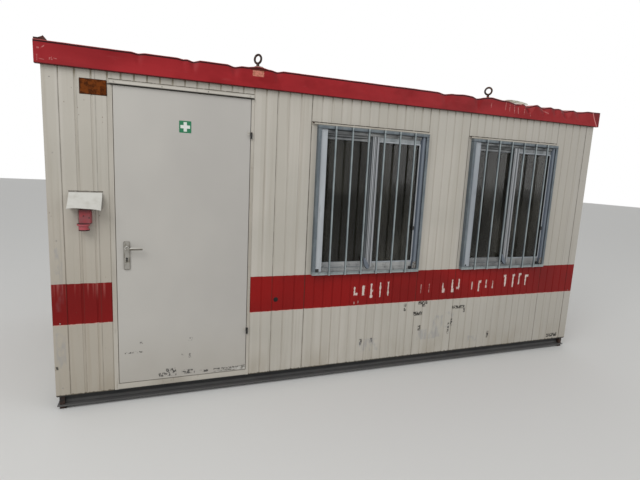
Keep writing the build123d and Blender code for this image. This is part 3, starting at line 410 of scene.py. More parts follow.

# %% [markdown]
# The fascia's red is older and bleached, with chalky scratches and a bare pinkish patch under the left eye.
# Light and shade are painted on it too: pink where a dent's face tilts towards the light and darker red where
# it turns away, a painted shadow under the top edge and along the foot, a painted highlight along the top,
# and a painted fold near the right end. Its dents are geometry; the mesh hands the shader two numbers a
# point, how high it lies on the face and which way it tilts, because an attribute costs nothing and stays in
# place when the sheet moves.

# %% Fascia red
FASCIA_SCRATCHES = (  # along the wall, height, half length, half height, lean, strength
    (-0.002, 2.405, 0.004, 0.004, 0.0, 0.8), (0.022, 2.413, 0.010, 0.002, 0.8, 0.8),
    (0.066, 2.346, 0.008, 0.006, 0.0, 0.6), (0.085, 2.352, 0.014, 0.0015, -0.25, 0.7),
    (0.010, 2.338, 0.018, 0.001, -0.1, 0.4), (-0.010, 2.345, 0.001, 0.018, 0.0, 0.4),
    (3.62, 2.400, 0.003, 0.020, 0.0, 0.5), (3.79, 2.405, 0.002, 0.035, 0.0, 0.6),
    (3.84, 2.395, 0.003, 0.030, 0.0, 0.5), (3.90, 2.390, 0.002, 0.038, 0.0, 0.7),
    (3.95, 2.380, 0.002, 0.030, 0.0, 0.6), (4.02, 2.375, 0.003, 0.026, 0.0, 0.6),
    (4.10, 2.360, 0.002, 0.018, 0.0, 0.5), (4.28, 2.405, 0.05, 0.003, -0.35, 0.6),
    (4.045, 2.438, 0.022, 0.005, -0.4, 0.9), (3.97, 2.441, 0.03, 0.003, -0.1, 0.9))
CREASE_X, CREASE_Z, CREASE_LEAN = 4.923, 2.456, 0.555  # the fold near the right end, which is only painted as light and shade


def fascia_red():
    """Bleached red: pink clouds, chalk scratches, painted shadow under the top edge and at the foot, a
    painted highlight along the top, painted light and shade on the dents; rise and facet are attributes of
    the mesh.
    """
    s = Finish("fascia_red")
    along, up = s.x - LEFT_X, s.z - WALL_FOOT
    # rise is the height on the face; facet is its tilt, which the colour turns into painted light and shade.
    rise, facet = (s.node("ShaderNodeAttribute", {"attribute_name": name}, {}, "Fac")
                   for name in ("rise", "facet"))
    cloud = s.base((155, 37, 42), (132, 27, 32), 0.3, 0.7, 1.6, 4.0, (1, 1, 3))
    s.stain(0.5, (112, 12, 16), 0.5, 0.68, 2.6, 3.0, (1, 1, 1.5), 0.6)
    s.coat(along.ease(3.3, 4.2) * 0.6, 134, 10, 16)
    # Painted light on the dents: darker red where a face tilts away from the light, pink where it tilts
    # towards it, stronger at the battered right end.
    battered = along.ease(3.7, 4.0)
    s.coat(facet.ease(0.5, 0.1) * (0.45 + 0.35 * battered), 92, 14, 18)
    s.coat(facet.ease(0.55, 0.95) * (0.12 + 0.33 * battered), 176, 84, 84)
    chalk = s.stain(0.25, (170, 84, 84), 0.6, 0.78, 26.0, 4.0, (0.25, 1, 2.0), 0.65)
    # Painted shadow under the top edge and along the foot, then a painted highlight along the top edge.
    thin = (s.noise(30.0, 3.0, (1, 1, 0.1), 0.6) - 0.5) * 0.03
    rim = (rise + thin).between(0.91, 0.962, 0.02).most(rise.ease(0.05, 0.01) * 0.8)
    s.coat(rim * 0.95, 34, 8, 10)
    s.coat(rise.ease(0.965, 0.985) * 0.5, 186, 112, 108)

    on_front = s.y.ease(FRONT_Y, FRONT_Y - 0.01)
    ragged = (s.noise(120.0, 3.0, (1, 1, 1), 0.7) - 0.5) * 0.012
    broken = s.noise(90.0, 3.0, (1, 1, 0.5), 0.6).ease(0.36, 0.52)
    marks = strongest((along + ragged).within(x, wide, 0.003) * strength
                      * (up - z - (along - x) * lean + ragged * 0.5).within(0, tall, 0.0025)
                      for x, z, wide, tall, lean, strength in FASCIA_SCRATCHES)
    s.coat(marks * on_front * broken * 0.75, 206, 148, 142)
    patch = (along + ragged).between(1.382, 1.464, 0.003) * (up + ragged).between(2.396, 2.438, 0.003)
    patch = patch * on_front
    s.coat(patch, s.mix(s.noise(60.0, 3.0).ease(0.4, 0.6), (200, 122, 108), (166, 104, 84)))
    below = along.between(1.37, 1.475, 0.01) * up.between(2.438, 2.452, 0.004) * on_front
    s.coat(below * 0.8, 62, 22, 10)
    # A fold that is only painted: painted shade on the face to its right and a painted highlight along its
    # ridge.
    crease = along - CREASE_X - (CREASE_Z - up) * CREASE_LEAN
    s.coat(crease.ease(0.004, 0.012) * on_front * 0.55, 82, 12, 16)
    s.coat(crease.between(-0.003, 0.004, 0.003) * on_front * 0.8, 206, 140, 136)
    return s.surface(0.42 + 0.3 * chalk + 0.2 * patch, 0.0, cloud * 0.6 + chalk * 0.1, 0.003, gloss=0.12)


print(len(FASCIA_SCRATCHES), "scratches on the fascia")

# %% [markdown]
# The door leaf is a smooth sheet in a greyer white than the walls. It has two vertical handling
# scratches, knocks near the foot, and a strip of film or paint that has come away at the hinge corner.
# Its frame keeps the walls' cream. Both are clouds of two near colours with marks laid over them.

# %% Door and frame paint
LEAF_LOW, LEAF_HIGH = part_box("door_leaf")
KNOCKS = (  # along the leaf, height over its foot, half width, half height
    (0.157, 0.31, 0.006, 0.006), (0.517, 0.305, 0.012, 0.008), (0.457, 0.17, 0.004, 0.014),
    (0.512, 0.17, 0.004, 0.016), (0.10, 0.235, 0.06, 0.002), (0.31, 0.030, 0.03, 0.012),
    (0.37, 0.045, 0.035, 0.028), (0.50, 0.035, 0.045, 0.014), (0.62, 0.025, 0.03, 0.006),
    (0.80, 0.030, 0.10, 0.003))


def door_paint():
    """Grey white coat: soft clouds, fine orange peel, dark knocks outside, dirt at the foot."""
    s = Finish("door_paint")
    s.colour = s.mix(s.noise(1.3, 3.0, (1, 1, 0.7)).ease(0.3, 0.7), (180, 177, 171), (171, 168, 163))
    foot = s.z.ease(LEAF_LOW.z + 0.5, LEAF_LOW.z)
    s.coat(foot * (0.15 + 0.3 * s.noise(6.0, 4.0, (1, 1, 0.4))), 150, 142, 128)
    black = spots(s.x - LEAF_LOW.x, s.z - LEAF_LOW.z, KNOCKS, 0.008)
    black = black * s.y.ease(LEAF_LOW.y + 0.02, LEAF_LOW.y + 0.01)
    black = black * s.noise(70.0, 4.0, (1, 1, 0.6), 0.7).ease(0.47, 0.55)
    s.coat(black * 0.9, 46, 44, 42)
    peel = s.noise(300.0, 2.0) * 0.04 + s.noise(1.8, 2.0) * 0.8
    return s.surface(0.36 + 0.2 * foot, 0.0, peel - black * 0.1, 0.003)


def frame_paint():
    """The cream of the door frame and its strips: dirty in the corners, with a painted highlight on the drip
    strip and a painted shadow under it.
    """
    s = Finish("frame_paint")
    low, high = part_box("drip_strip")
    cloud = s.base((178, 173, 163), (160, 154, 143), 0.35, 0.7, 3.0, 4.0, (1, 1, 0.4))
    stain = s.stain(0.45, (118, 104, 86), 0.6, 0.75, 30.0, 4.0, (1, 1, 0.3), 0.65)
    # A painted highlight on the drip strip's face and a painted shadow in the gap between it and the leaf.
    gleam = s.z.between(low.z + 0.009, high.z - 0.006, 0.003) * s.y.ease(FRONT_Y, FRONT_Y - 0.006)
    s.coat(gleam * 0.7, 214, 212, 206)
    s.coat(s.z.between(LEAF_HIGH.z - 0.001, low.z + 0.003, 0.0015) * 0.92, 40, 37, 32)
    return s.surface(0.45 + 0.2 * stain, 0.0, cloud, 0.002)


print(len(KNOCKS), "knocks on the leaf, whose foot is at", round(LEAF_LOW.z, 3))

# %% [markdown]
# Steel comes in several states here: zinc on the grilles, which has gone blue grey with lighter rubs,
# rust on the feet and the lifting eyes, and dark road dirt over the base rail. A bar's roundness, an
# angle's depth and the shade over the rail's upper part are painted into the colour as light and shade,
# since at this size a few pixels have to show them.

# %% Steels
GRILLE_BARS, GRILLE_LEG, BAR_RADIUS, BAR_LET_IN = 6, 0.026, 0.009, 0.003
KNUCKLE_WIDE = 0.016


def grille_zinc():
    """Old zinc with painted light: highlights along the bars and the rails' edges, painted shade on the bars'
    sides, under the head and in the angles.
    """
    s = Finish("grille_zinc")
    low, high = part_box("window_grille_left")
    cloud = s.base((106, 115, 119), (136, 145, 147), 0.35, 0.68, 16.0, 5.0, (1, 1, 0.4), 0.6)
    s.stain(0.6, (74, 80, 86), 0.6, 0.75, 40.0, 3.0)
    # Painted light: the foot rail paler with a highlight near its lower edge, a highlight along the head's
    # top edge and a shadow under the head.
    foot_rail = s.z.ease(low.z + GRILLE_LEG + 0.004, low.z + GRILLE_LEG)
    s.coat(foot_rail * 0.2, 150, 156, 152)
    s.coat(s.z.between(low.z + 0.004, low.z + 0.008, 0.002) * 0.25, 204, 206, 202)
    s.coat(s.z.ease(high.z - 0.007, high.z - 0.003) * 0.6, 172, 176, 174)
    head_edge = high.z - GRILLE_LEG
    s.coat(s.z.between(head_edge - 0.002, head_edge + 0.004, 0.001) * 0.7, 46, 50, 54)
    # Painted shade on the angles' turned sides.
    turned_side = s.y.ease(low.y + 0.006, low.y + 0.016) * (1 - foot_rail)
    s.coat(turned_side * 0.5, 62, 70, 80)
    # Painted shade on each bar's sides and a painted highlight along its middle.
    step = (high.x - low.x) / (GRILLE_BARS + 1)
    to_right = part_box("window_grille_right")[0].x - low.x
    first = low.x + s.x.ease(high.x + 0.1, high.x + 0.2) * to_right
    from_bar = abs(((s.x - first) / step + 0.5).fraction() - 0.5) * step
    on_bar = s.y.ease(low.y + 0.014, low.y + 0.0135)
    s.coat(from_bar.ease(0.0055, 0.0085) * on_bar * 0.75, 58, 64, 70)
    s.coat(from_bar.ease(0.0045, 0.002) * on_bar * 0.5, 166, 176, 176)
    s.stain(0.7, (92, 68, 52), 0.66, 0.73, 55.0, 4.0, (1, 1, 0.6), 0.65)
    return s.surface(0.5 + 0.2 * s.specks(60.0), 0.3, cloud, 0.0008)


def rail_paint():
    """The base channel: nearly black, with painted shade over its upper part, dust and painted light on the
    lower part that faces up, and rust along the edges.
    """
    s = Finish("rail_paint")
    low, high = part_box("base_rails_long")
    patch = s.base((32, 33, 35), (48, 48, 47), 0.35, 0.65, 9.0, 5.0, (0.4, 1, 1), 0.6)
    rust = s.stain(0.6, (84, 58, 44), 0.6, 0.7, 22.0, 5.0, (0.5, 1, 1), 0.65)
    # Painted shade over the upper part under the wall's overhang; the lower part, which faces up, paler with
    # dust and painted light.
    s.coat(s.z.ease(low.z + 0.030, high.z) * 0.7, 16, 16, 16)
    dust_and_light = s.z.ease(low.z + 0.036, low.z + 0.022)
    s.coat(dust_and_light * (0.35 + 0.4 * patch), 104, 103, 102)
    return s.surface(0.62 + 0.2 * rust, 0.1, patch + rust * 0.4, 0.0015)


def hinge_black():
    """Black knuckles, worn grey on their corners by use; the hinge plates are painted over with the door."""
    s = Finish("hinge_black")
    wear = s.noise(90.0, 4.0).ease(0.58, 0.7)
    s.colour = s.mix(wear, (12, 12, 11), (52, 49, 46))
    half = KNUCKLE_WIDE / 2
    painted = abs(s.x - (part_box("leaf_hinges")[1].x - half)).ease(half, half + 0.002)
    s.coat(painted, s.mix(wear, (176, 173, 165), (140, 134, 122)))
    return s.surface(0.5 + 0.2 * wear, 0.1, wear, 0.0004)


def lock_steel():
    """Brushed plates and levers: fine upright lines, fingermarks, pitted specks of brown, and on the levers a
    painted highlight along the top and painted shade underneath.
    """
    s = Finish("lock_steel")
    brush = s.noise(420.0, 2.0, (1, 1, 0.05))
    smear = s.noise(24.0, 3.0).ease(0.45, 0.65)
    s.colour = s.mix(smear, (158, 155, 148), (122, 118, 108))
    pits = s.specks(150.0).ease(0.22, 0.12) * s.noise(30.0, 3.0, (1, 1, 1), 0.6).ease(0.4, 0.6)
    s.coat(pits * 0.8, 70, 60, 50)
    low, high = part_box("lock_plates")
    edge = (high.x - low.x) / 2 - abs(s.x - (low.x + high.x) / 2)
    rim = edge.between(0.0, 0.003, 0.001).most(s.z.between(low.z - 0.001, low.z + 0.004, 0.001))
    s.coat(rim * 0.6, 86, 80, 70)
    low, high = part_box("lever_handles")
    # Painted highlight along each lever's top, brightest near the spindle, and painted shade along its
    # underside.
    grip = s.x.ease(low.x + 0.030, low.x + 0.036) * s.x.ease(high.x + 0.02, high.x)
    near = s.x.ease(high.x - 0.01, low.x + 0.04)
    s.coat(grip * s.z.ease(high.z - 0.009, high.z - 0.004), 176, 171, 162)
    s.coat(grip * s.z.ease(high.z - 0.005, high.z - 0.002) * (0.3 + 0.6 * near), 232, 231, 226)
    s.coat(grip * s.z.between(low.z + 0.002, low.z + 0.007, 0.003) * 0.85, 66, 58, 48)
    return s.surface(0.34 + 0.22 * smear + 0.08 * brush, 0.6, brush - pits * 0.3, 0.0002)


print("grille bars", GRILLE_BARS, "of", 2000 * BAR_RADIUS, "mm")

# %% [markdown]
# The windows are aluminium and white lacquer gone chalky, with grime towards the corners, and grime and
# painted shade in every groove and over the blind box. The right window is darker than the left one. The
# panes are dusty glass over a dark room, tinted dark as painted shade of the room: full transmission would be
# slower and noisier, so alpha lets the room show through a thin veil.

# %% Window finishes
FAR_FROM, FAR_FULL = 0.6, 0.9  # along X, where the right window starts to turn darker
FRAME_PROUD = 0.004


def window_aluminium():
    """Window profiles: light grey with a blue cast, chalky and dirty towards the corners."""
    s = Finish("window_aluminium")
    cloud = s.base((148, 153, 155), (120, 127, 131), 0.35, 0.68, 7.0, 4.0, (1, 1, 0.3))
    grime = s.stain(0.5, (84, 85, 82), 0.54, 0.70, 30.0, 4.0, (1, 1, 0.4), 0.6)
    s.coat(s.x.ease(FAR_FROM, FAR_FULL) * 0.4, 78, 82, 84)
    return s.surface(0.45 + 0.2 * grime, 0.15, cloud, 0.0006)


def guide_white():
    """Blind guides and glazing beads: white lacquer gone chalky, with darker drips."""
    s = Finish("guide_white")
    cloud = s.base((178, 183, 187), (154, 159, 164), 0.35, 0.7, 5.0, 4.0, (1, 1, 0.2))
    drip = s.stain(0.5, (104, 104, 100), 0.58, 0.74, 36.0, 4.0, (1, 1, 0.15), 0.65)
    s.coat(s.x.ease(FAR_FROM, FAR_FULL) * 0.4, 112, 120, 130)
    return s.surface(0.4 + 0.2 * drip, 0.0, cloud, 0.0005)


def profile_grey():
    """Stepped profiles: grey metal, darker in long soft streaks, with painted shade and dark lines over the
    blind box.
    """
    s = Finish("profile_grey")
    cloud = s.base((166, 167, 166), (132, 134, 136), 0.35, 0.7, 9.0, 4.0, (0.4, 1, 0.2), 0.6)
    grime = s.stain(0.6, (64, 65, 64), 0.54, 0.70, 40.0, 4.0, (0.6, 1, 0.3), 0.65)
    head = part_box("window_frames")[1].z
    lines = s.noise(90.0, 2.0, (0.02, 1, 1), 0.6).ease(0.46, 0.56)
    # Painted shade over the blind box, broken by dark lines.
    s.coat(s.z.ease(head - 0.110, head - 0.100) * (0.25 + 0.45 * lines), 54, 58, 60)
    s.coat(s.x.ease(FAR_FROM, FAR_FULL) * 0.4, 74, 78, 80)
    return s.surface(0.4 + 0.25 * grime, 0.2, cloud, 0.0005)


def grooved_metal(name, proud, pale, deep):
    """Profiles darker the deeper they lie, as grime and painted shade in their grooves: dark at the frame's
    face, pale `proud` metres out from it.
    """
    s = Finish(name)
    out = FRONT_Y - FRAME_PROUD - s.y
    cloud = s.noise(12.0, 4.0, (1, 1, 0.15), 0.6)
    shade = s.mix(cloud.ease(0.35, 0.7), pale, s.mix(0.15, pale, deep))
    s.colour = s.mix(out.ease(proud, proud * 0.35), shade, deep)
    return s.surface(0.4 + 0.2 * cloud, 0.25, cloud, 0.0005)


def window_pane():
    """Dusty glass over a dark room: clean glass is a dark tint, painted shade of the room, and the dust a
    paler veil; the rest lets light through.
    """
    s = Finish("window_pane")
    dust = s.noise(5.0, 5.0, (1, 1, 0.35), 0.6).ease(0.4, 0.75)
    s.colour = s.mix(dust, (38, 38, 34), (72, 71, 64))
    return s.surface(0.06 + 0.14 * dust, alpha=0.45)


print("window finishes, darker from x", FAR_FROM)

# %% [markdown]
# The rest of the cabin is wood, board, roof sheet and plastic. These are seen through the glass, from
# the side or from above, so each gets its own grain and dirt too. Rust, rubber and the other plain
# materials are one recipe, two colours in the patches of one noise, so a table lists them.

# %% Plain materials
ALL_WAYS = (1, 1, 1)
LOOSE = ((24.0, 4.0, ALL_WAYS, 0.6), (0.4, 0.62), 0.6, 0.2, 0.1, 0.0006, (140.0, 3.0))


def rusted(scale):
    """The recipe of rusted iron: a dark skin broken by brighter patches, pitted and rough all over."""
    pits = (scale * 6, 4.0, ALL_WAYS, 0.7)
    return (scale, 6.0, ALL_WAYS, 0.65), (0.42, 0.62), 0.72, 0.2, 0.25, 0.0012, pits, 0.4


TWO_TONES = {  # colours, noise, where its patches begin and end, roughness, its rise, metallic, bump height
    "joist_steel": ((126, 130, 134), (148, 150, 152), (12.0, 4.0), None, 0.5, 0.2, 0.5, 0.0006),
    # bright_steel is near white: on the spindle ring it paints the highlight round the spindle.
    "bright_steel": ((246, 246, 242), (216, 216, 212), (200.0, 2.0), None, 0.25, 0.1, 0.3, 0.0001),
    "pin_brass": ((178, 148, 84), (120, 90, 48), (120.0, 3.0), None, 0.35, 0.3, 0.9, 0.0002),
    "seal_grey": ((112, 106, 96), (148, 142, 130), (60.0, 4.0, (1, 1, 0.4), 0.6), None, 0.7, 0.1, 0, 0.0004),
    "rubber_black": ((20, 20, 21), (58, 57, 54), (50.0, 4.0, (1, 1, 0.5), 0.6),
                     (0.45, 0.75), 0.55, 0.3, 0.0, 0.0004),
    "bracket_steel": ((126, 127, 126), (90, 76, 66), (70.0, 5.0, ALL_WAYS, 0.65),
                      (0.46, 0.6), 0.45, 0.35, 0.4, 0.0005),
    "peeled_film": ((186, 184, 178), (104, 100, 92), (80.0, 4.0, (0.5, 1, 1), 0.65),
                    (0.45, 0.62), 0.5, 0.2, 0.0, 0.0006),
    # these end with a finer noise for the bump, rust also with the patches' share in it
    "ceiling_white": ((196, 194, 184), (178, 173, 158), (2.0, 4.0), None, 0.8, 0, 0, 0.0006, (240.0, 2.0)),
    "dark_sheet": ((52, 26, 26), (84, 48, 42), *LOOSE),
    "pale_sheet": ((198, 196, 182), (156, 152, 138), *LOOSE),
    "rusty_steel": ((34, 28, 26), (66, 46, 38), *rusted(26.0)),
    "eye_iron": ((44, 34, 30), (84, 56, 42), *rusted(40.0)),
    "keyhole_black": ((9, 9, 9), (26, 22, 18), *rusted(60.0))}


def two_tone(name, first, second, noise, spread, rough, rise, metallic, height, fine=None, share=0.0):
    """Two colours in patches of a noise, rougher in the second; the bump is the patches or a finer noise."""
    s = Finish(name)
    patch = s.noise(*noise) if spread is None else s.noise(*noise).ease(*spread)
    bump = patch if fine is None else s.noise(*fine) + patch * share
    s.colour = s.mix(patch, first, second)
    return s.surface(rough + rise * patch, metallic, bump, height)


print(len(TWO_TONES), "finishes of two colours")

# %% Wood, roof sheet, sign, plate, hood and inlet
SIGN_WIDE, SIGN_ARM, SIGN_BAR = 0.085, 0.066, 0.022
SIGN_AT = (LEFT_X + 0.8985, WALL_FOOT + 1.986)
PLATE_WIDE, PLATE_TALL = 0.167, 0.103
PLATE_AT = (LEFT_X + 0.3025, WALL_FOOT + 2.2015)
COLLAR_TOP = WALL_FOOT + 1.277


def timber(name, pale, dark, stretch):
    """Board with a long grain: fine noise drawn out along it, plus slow bands."""
    s = Finish(name)
    fine, slow = stretch
    fibre = s.noise(42.0, 5.0, fine, 0.6)
    s.colour = s.mix(fibre.ease(0.3, 0.7), pale, dark).coat(s.noise(3.0, 2.0, slow) * 0.4, *dark)
    return s.surface(0.5 + 0.2 * fibre, 0.0, fibre, 0.0006)


def roof_steel():
    """Roof sheet: grey zinc under dust, moss in the low places, rust at the edges."""
    s = Finish("roof_steel")
    cloud = s.base((140, 138, 132), (112, 110, 104), 0.35, 0.65, 1.4, 5.0, ALL_WAYS, 0.6)
    moss = s.stain(0.6, (88, 88, 66), 0.58, 0.7, 8.0, 5.0, (1, 0.4, 1), 0.65)
    s.stain(0.7, (112, 74, 50), 0.64, 0.72, 17.0, 5.0, ALL_WAYS, 0.65)
    return s.surface(0.6 + 0.2 * moss, 0.2, cloud + moss * 0.3, 0.002)


def safety_green():
    """Green sheet with a plain white cross: two bars about the sign's own middle, a little faded."""
    s = Finish("safety_green")
    across, tall = abs(s.x - SIGN_AT[0]), abs(s.z - SIGN_AT[1])
    bars = [wide.ease(SIGN_BAR / 2 + 0.0006, SIGN_BAR / 2) * long.ease(SIGN_ARM / 2 + 0.0006, SIGN_ARM / 2)
            for wide, long in ((across, tall), (tall, across))]
    fade = s.noise(30.0, 3.0)
    green = s.mix(fade, (8, 104, 64), (20, 114, 76))
    s.colour = green.coat(strongest(bars), s.mix(fade, (222, 226, 222), (198, 204, 198)))
    return s.surface(0.35 + 0.1 * fade, 0.0, fade, 0.0002)


def plate_orange():
    """A bare plate gone orange brown, darker and rustier towards its rim."""
    s = Finish("plate_orange")
    blotch = s.noise(42.0, 5.0, ALL_WAYS, 0.65).ease(0.4, 0.65)
    edge = (PLATE_TALL / 2 - abs(s.z - PLATE_AT[1])).least(PLATE_WIDE / 2 - abs(s.x - PLATE_AT[0]))
    worn = (edge + (s.noise(60.0, 3.0) - 0.5) * 0.008).ease(0.008, 0.002)
    s.colour = s.mix(blotch, (104, 50, 8), (66, 30, 6)).coat(worn * 0.75, 44, 24, 12)
    return s.surface(0.6 + 0.2 * blotch, 0.1, blotch, 0.0004, gloss=0.1)


def hood_white():
    """The rain hood: thin white plastic, chalky, darker along its top at the wall and along its right edge.
    """
    s = Finish("hood_white")
    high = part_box("inlet_hood")[1]
    cloud = s.noise(14.0, 4.0)
    edge = s.z.ease(high.z - 0.006, high.z - 0.001).most(s.x.ease(high.x - 0.004, high.x - 0.0005))
    s.colour = s.mix(cloud.ease(0.4, 0.75), (194, 193, 187), (178, 176, 168)).coat(edge * 0.7, 84, 78, 70)
    return s.surface(0.5 + 0.1 * cloud, 0.0, cloud, 0.0006)


def inlet_red():
    """The power inlet: red plastic that the sun has turned pink, with a painted highlight under the collar's
    top, dark lines at its collar and mouth, and a painted shadow of the hood over its top.
    """
    s = Finish("inlet_red")
    low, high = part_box("power_inlet")
    cloud = s.base((152, 52, 58), (132, 66, 70), 0.35, 0.65, 22.0, 4.0)
    # A painted highlight just under the collar's top; then dark lines at collar and mouth and a painted
    # shadow of the hood over the top.
    s.coat(s.z.ease(COLLAR_TOP, COLLAR_TOP - 0.003) * 0.4, 186, 84, 92)
    collar = s.z.between(COLLAR_TOP - 0.001, COLLAR_TOP + 0.0035, 0.0015)
    mouth = s.z.between(low.z - 0.004, low.z + 0.006, 0.0015)
    s.coat(collar.most(mouth).most(s.z.ease(high.z - 0.035, high.z) * 0.7), 48, 14, 16)
    return s.surface(0.45 + 0.2 * cloud, 0.0, cloud, 0.0006)


print("sign", SIGN_WIDE, "m wide, plate", PLATE_WIDE, "by", PLATE_TALL)

# %% Put the finishes on the CAD nodes
FINISHES = {make.__name__: make() for make in (
    wall_paint, fascia_red, door_paint, frame_paint, grille_zinc, rail_paint, hinge_black, lock_steel,
    window_aluminium, guide_white, profile_grey, window_pane, roof_steel, safety_green, plate_orange,
    hood_white, inlet_red)}
FINISHES.update((name, two_tone(name, *recipe)) for name, recipe in TWO_TONES.items())
FINISHES["deck_wood"] = timber("deck_wood", (128, 108, 84), (92, 76, 58), ((0.04, 1, 1), (0.2, 1, 1)))
FINISHES["lining_wood"] = timber("lining_wood", (112, 88, 66), (82, 62, 46), ((1, 1, 0.04), (1, 1, 0.2)))
FINISHES["mullion_grey"] = grooved_metal("mullion_grey", 0.012, (160, 163, 166), (52, 55, 58))
# guide_grey is the right guides' blue grey, painted shade of guides in shadow; the latches share it.
FINISHES["guide_grey"] = grooved_metal("guide_grey", 0.026, (112, 120, 130), (78, 86, 98))

for part in frame["record"]["subparts"]:
    slots = nodes[part["node"]].data.materials
    slots.clear()
    slots.append(FINISHES[part["material_slot"]])
print(len(FINISHES), "finishes on", len(nodes), "nodes")

# %% [markdown]
# Every new piece is a surface worked out in numpy, in metres and in its real place. Closed outlines
# carried from place to place become a solid bar with two end faces, or a ring. Blender could also draw
# these with its own tools, but a formula can be read, changed and repeated. Normals are recalculated
# on the closed result, and only real corners stay sharp.

# %% From points to pieces
PIECES = []


def points(x, y, z):
    """Three arrays spread over one grid, as the points of that grid."""
    return np.stack(np.broadcast_arrays(x, y, z), axis=-1)


def bar(rings, ring=False):
    """Closed outlines (places, corners, 3) joined from place to place, with two end faces or as a ring."""
    index = np.arange(rings.size // 3).reshape(rings.shape[:2])
    index = np.pad(index, ((0, int(ring)), (0, 1)), "wrap")
    quads = np.stack([index[:-1, :-1], index[1:, :-1], index[1:, 1:], index[:-1, 1:]], axis=-1)
    ends = [] if ring else [index[0, -2::-1].tolist(), index[-1, :-1].tolist()]
    return rings.reshape(-1, 3), quads.reshape(-1, 4).tolist() + ends


def piece(name, body, finish, slot, *shapes, corner=35.0, marks=None, instead=None):
    """One object of several shapes; edges that turn more than `corner` degrees are left sharp.

    marks holds one number a vertex under each name, for the finish to read. A piece may stand instead
    of a CAD node."""
    starts = np.cumsum([0] + [len(shape[0]) for shape in shapes]).tolist()
    mesh = bpy.data.meshes.new(name)
    mesh.from_pydata(np.concatenate([shape[0] for shape in shapes]).tolist(), [], [
        [start + i for i in face] for start, shape in zip(starts, shapes) for face in shape[1]])
    solid = bmesh.new()
    solid.from_mesh(mesh)
    bmesh.ops.recalc_face_normals(solid, faces=solid.faces)
    solid.to_mesh(mesh)
    solid.free()
    mesh.polygons.foreach_set("use_smooth", np.ones(len(mesh.polygons), dtype=bool))
    mesh.set_sharp_from_angle(angle=math.radians(corner))
    for key, values in (marks or {}).items():
        mesh.attributes.new(key, "FLOAT", "POINT").data.foreach_set("value", np.concatenate(values))
    mesh.materials.append(FINISHES[finish])
    made = bpy.data.objects.new(name, mesh)
    stage.collection.objects.link(made)
    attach(made, body)
    if instead:
        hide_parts(instead)
    PIECES.append(made)


def report(title, count):
    """Prints how many faces the last few pieces have."""
    print(title, sum(len(made.data.polygons) for made in PIECES[-count:]), "faces")


print("helpers for bars, rings and pieces")

# %% [markdown]
# The roof edge is thin folded sheet: a tall face, a lip back to the wall and a flange on the roof. Years
# of lifting have pushed the edge in and down. One rule says how far each place of an edge has sunk, and
# both the fascia and the roof sheet under its flange follow it, so they stay together. A dent is a
# folded V, wide at the edge and pointed below, because that is how sheet gives way.

# %% Sunken roof edge
FASCIA_LOW, FASCIA_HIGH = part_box("fascia_front")
DECK_LOW, DECK_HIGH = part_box("roof_deck")
FASCIA_OUT, END_OUT = FRONT_Y - FASCIA_LOW.y, LEFT_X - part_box("fascia_left")[0].x
FASCIA_FLANGE, FASCIA_TALL = FASCIA_HIGH.y - FRONT_Y, FASCIA_HIGH.z - FASCIA_LOW.z
FASCIA_SHEET, FASCIA_STEP, SINK_REACH, DEEPEST = 0.003, 0.014, 0.12, 0.022
FRONT_SEED, REAR_SEED = 40, 60
FRONT_DIPS = (  # along the wall, drop of the edge (less than 0: bent up), half width of the dent
    (0.587, 0.006, 0.035), (0.883, 0.005, 0.03), (0.952, 0.011, 0.04), (1.245, 0.010, 0.045),
    (1.425, -0.012, 0.07), (1.57, 0.008, 0.04), (3.10, 0.009, 0.06), (3.30, -0.006, 0.08),
    (3.46, 0.012, 0.05), (3.62, -0.013, 0.10), (3.93, 0.014, 0.10), (4.08, 0.024, 0.07),
    (4.27, 0.018, 0.08), (4.42, 0.014, 0.07), (4.56, 0.024, 0.09), (4.74, 0.016, 0.10))
REAR_DIPS = ((1.1, 0.018, 0.07), (2.7, 0.012, 0.06), (4.2, 0.020, 0.09))


def waves(place, seed, longest, count=6):
    """A sum of sines of falling length and seeded phase, kept between 0 and 1."""
    rng = np.random.default_rng(seed)
    lengths = longest * 0.62 ** np.arange(count)
    phases = rng.uniform(0, 2 * np.pi, count)
    heights = 0.75 ** np.arange(count)
    spread = place[..., None] / lengths * 2 * np.pi + phases
    total = (np.sin(spread) * heights).sum(axis=-1) / heights.sum()
    return np.clip(0.5 + 0.8 * total, 0, 1)


def edge_drop(along, dips, seed):
    """Drop of the outer edge: pointed dents, deep * (1 - distance / width), and shallow waves."""
    dents = sum(deep * np.clip(1.15 - np.abs(along - at) / wide, 0, 1) for at, deep, wide in dips)
    ends = np.clip(np.minimum(along, WALL_LONG - along) / 0.05, 0, 1)
    return (np.minimum(dents, DEEPEST) + 0.002 * waves(along, seed, 0.9)) * ends


def share_of_drop(inward):
    """1 at the outer fold, 0.8 over the wall's face, 0 at SINK_REACH over the roof."""
    outside = 0.8 - 0.2 * inward / FASCIA_OUT
    return np.where(inward < 0, outside, 0.8 * np.clip(1 - inward / SINK_REACH, 0, 1) ** 3)


print(len(FRONT_DIPS) + len(REAR_DIPS), "dents, none deeper than", 1000 * DEEPEST, "mm")

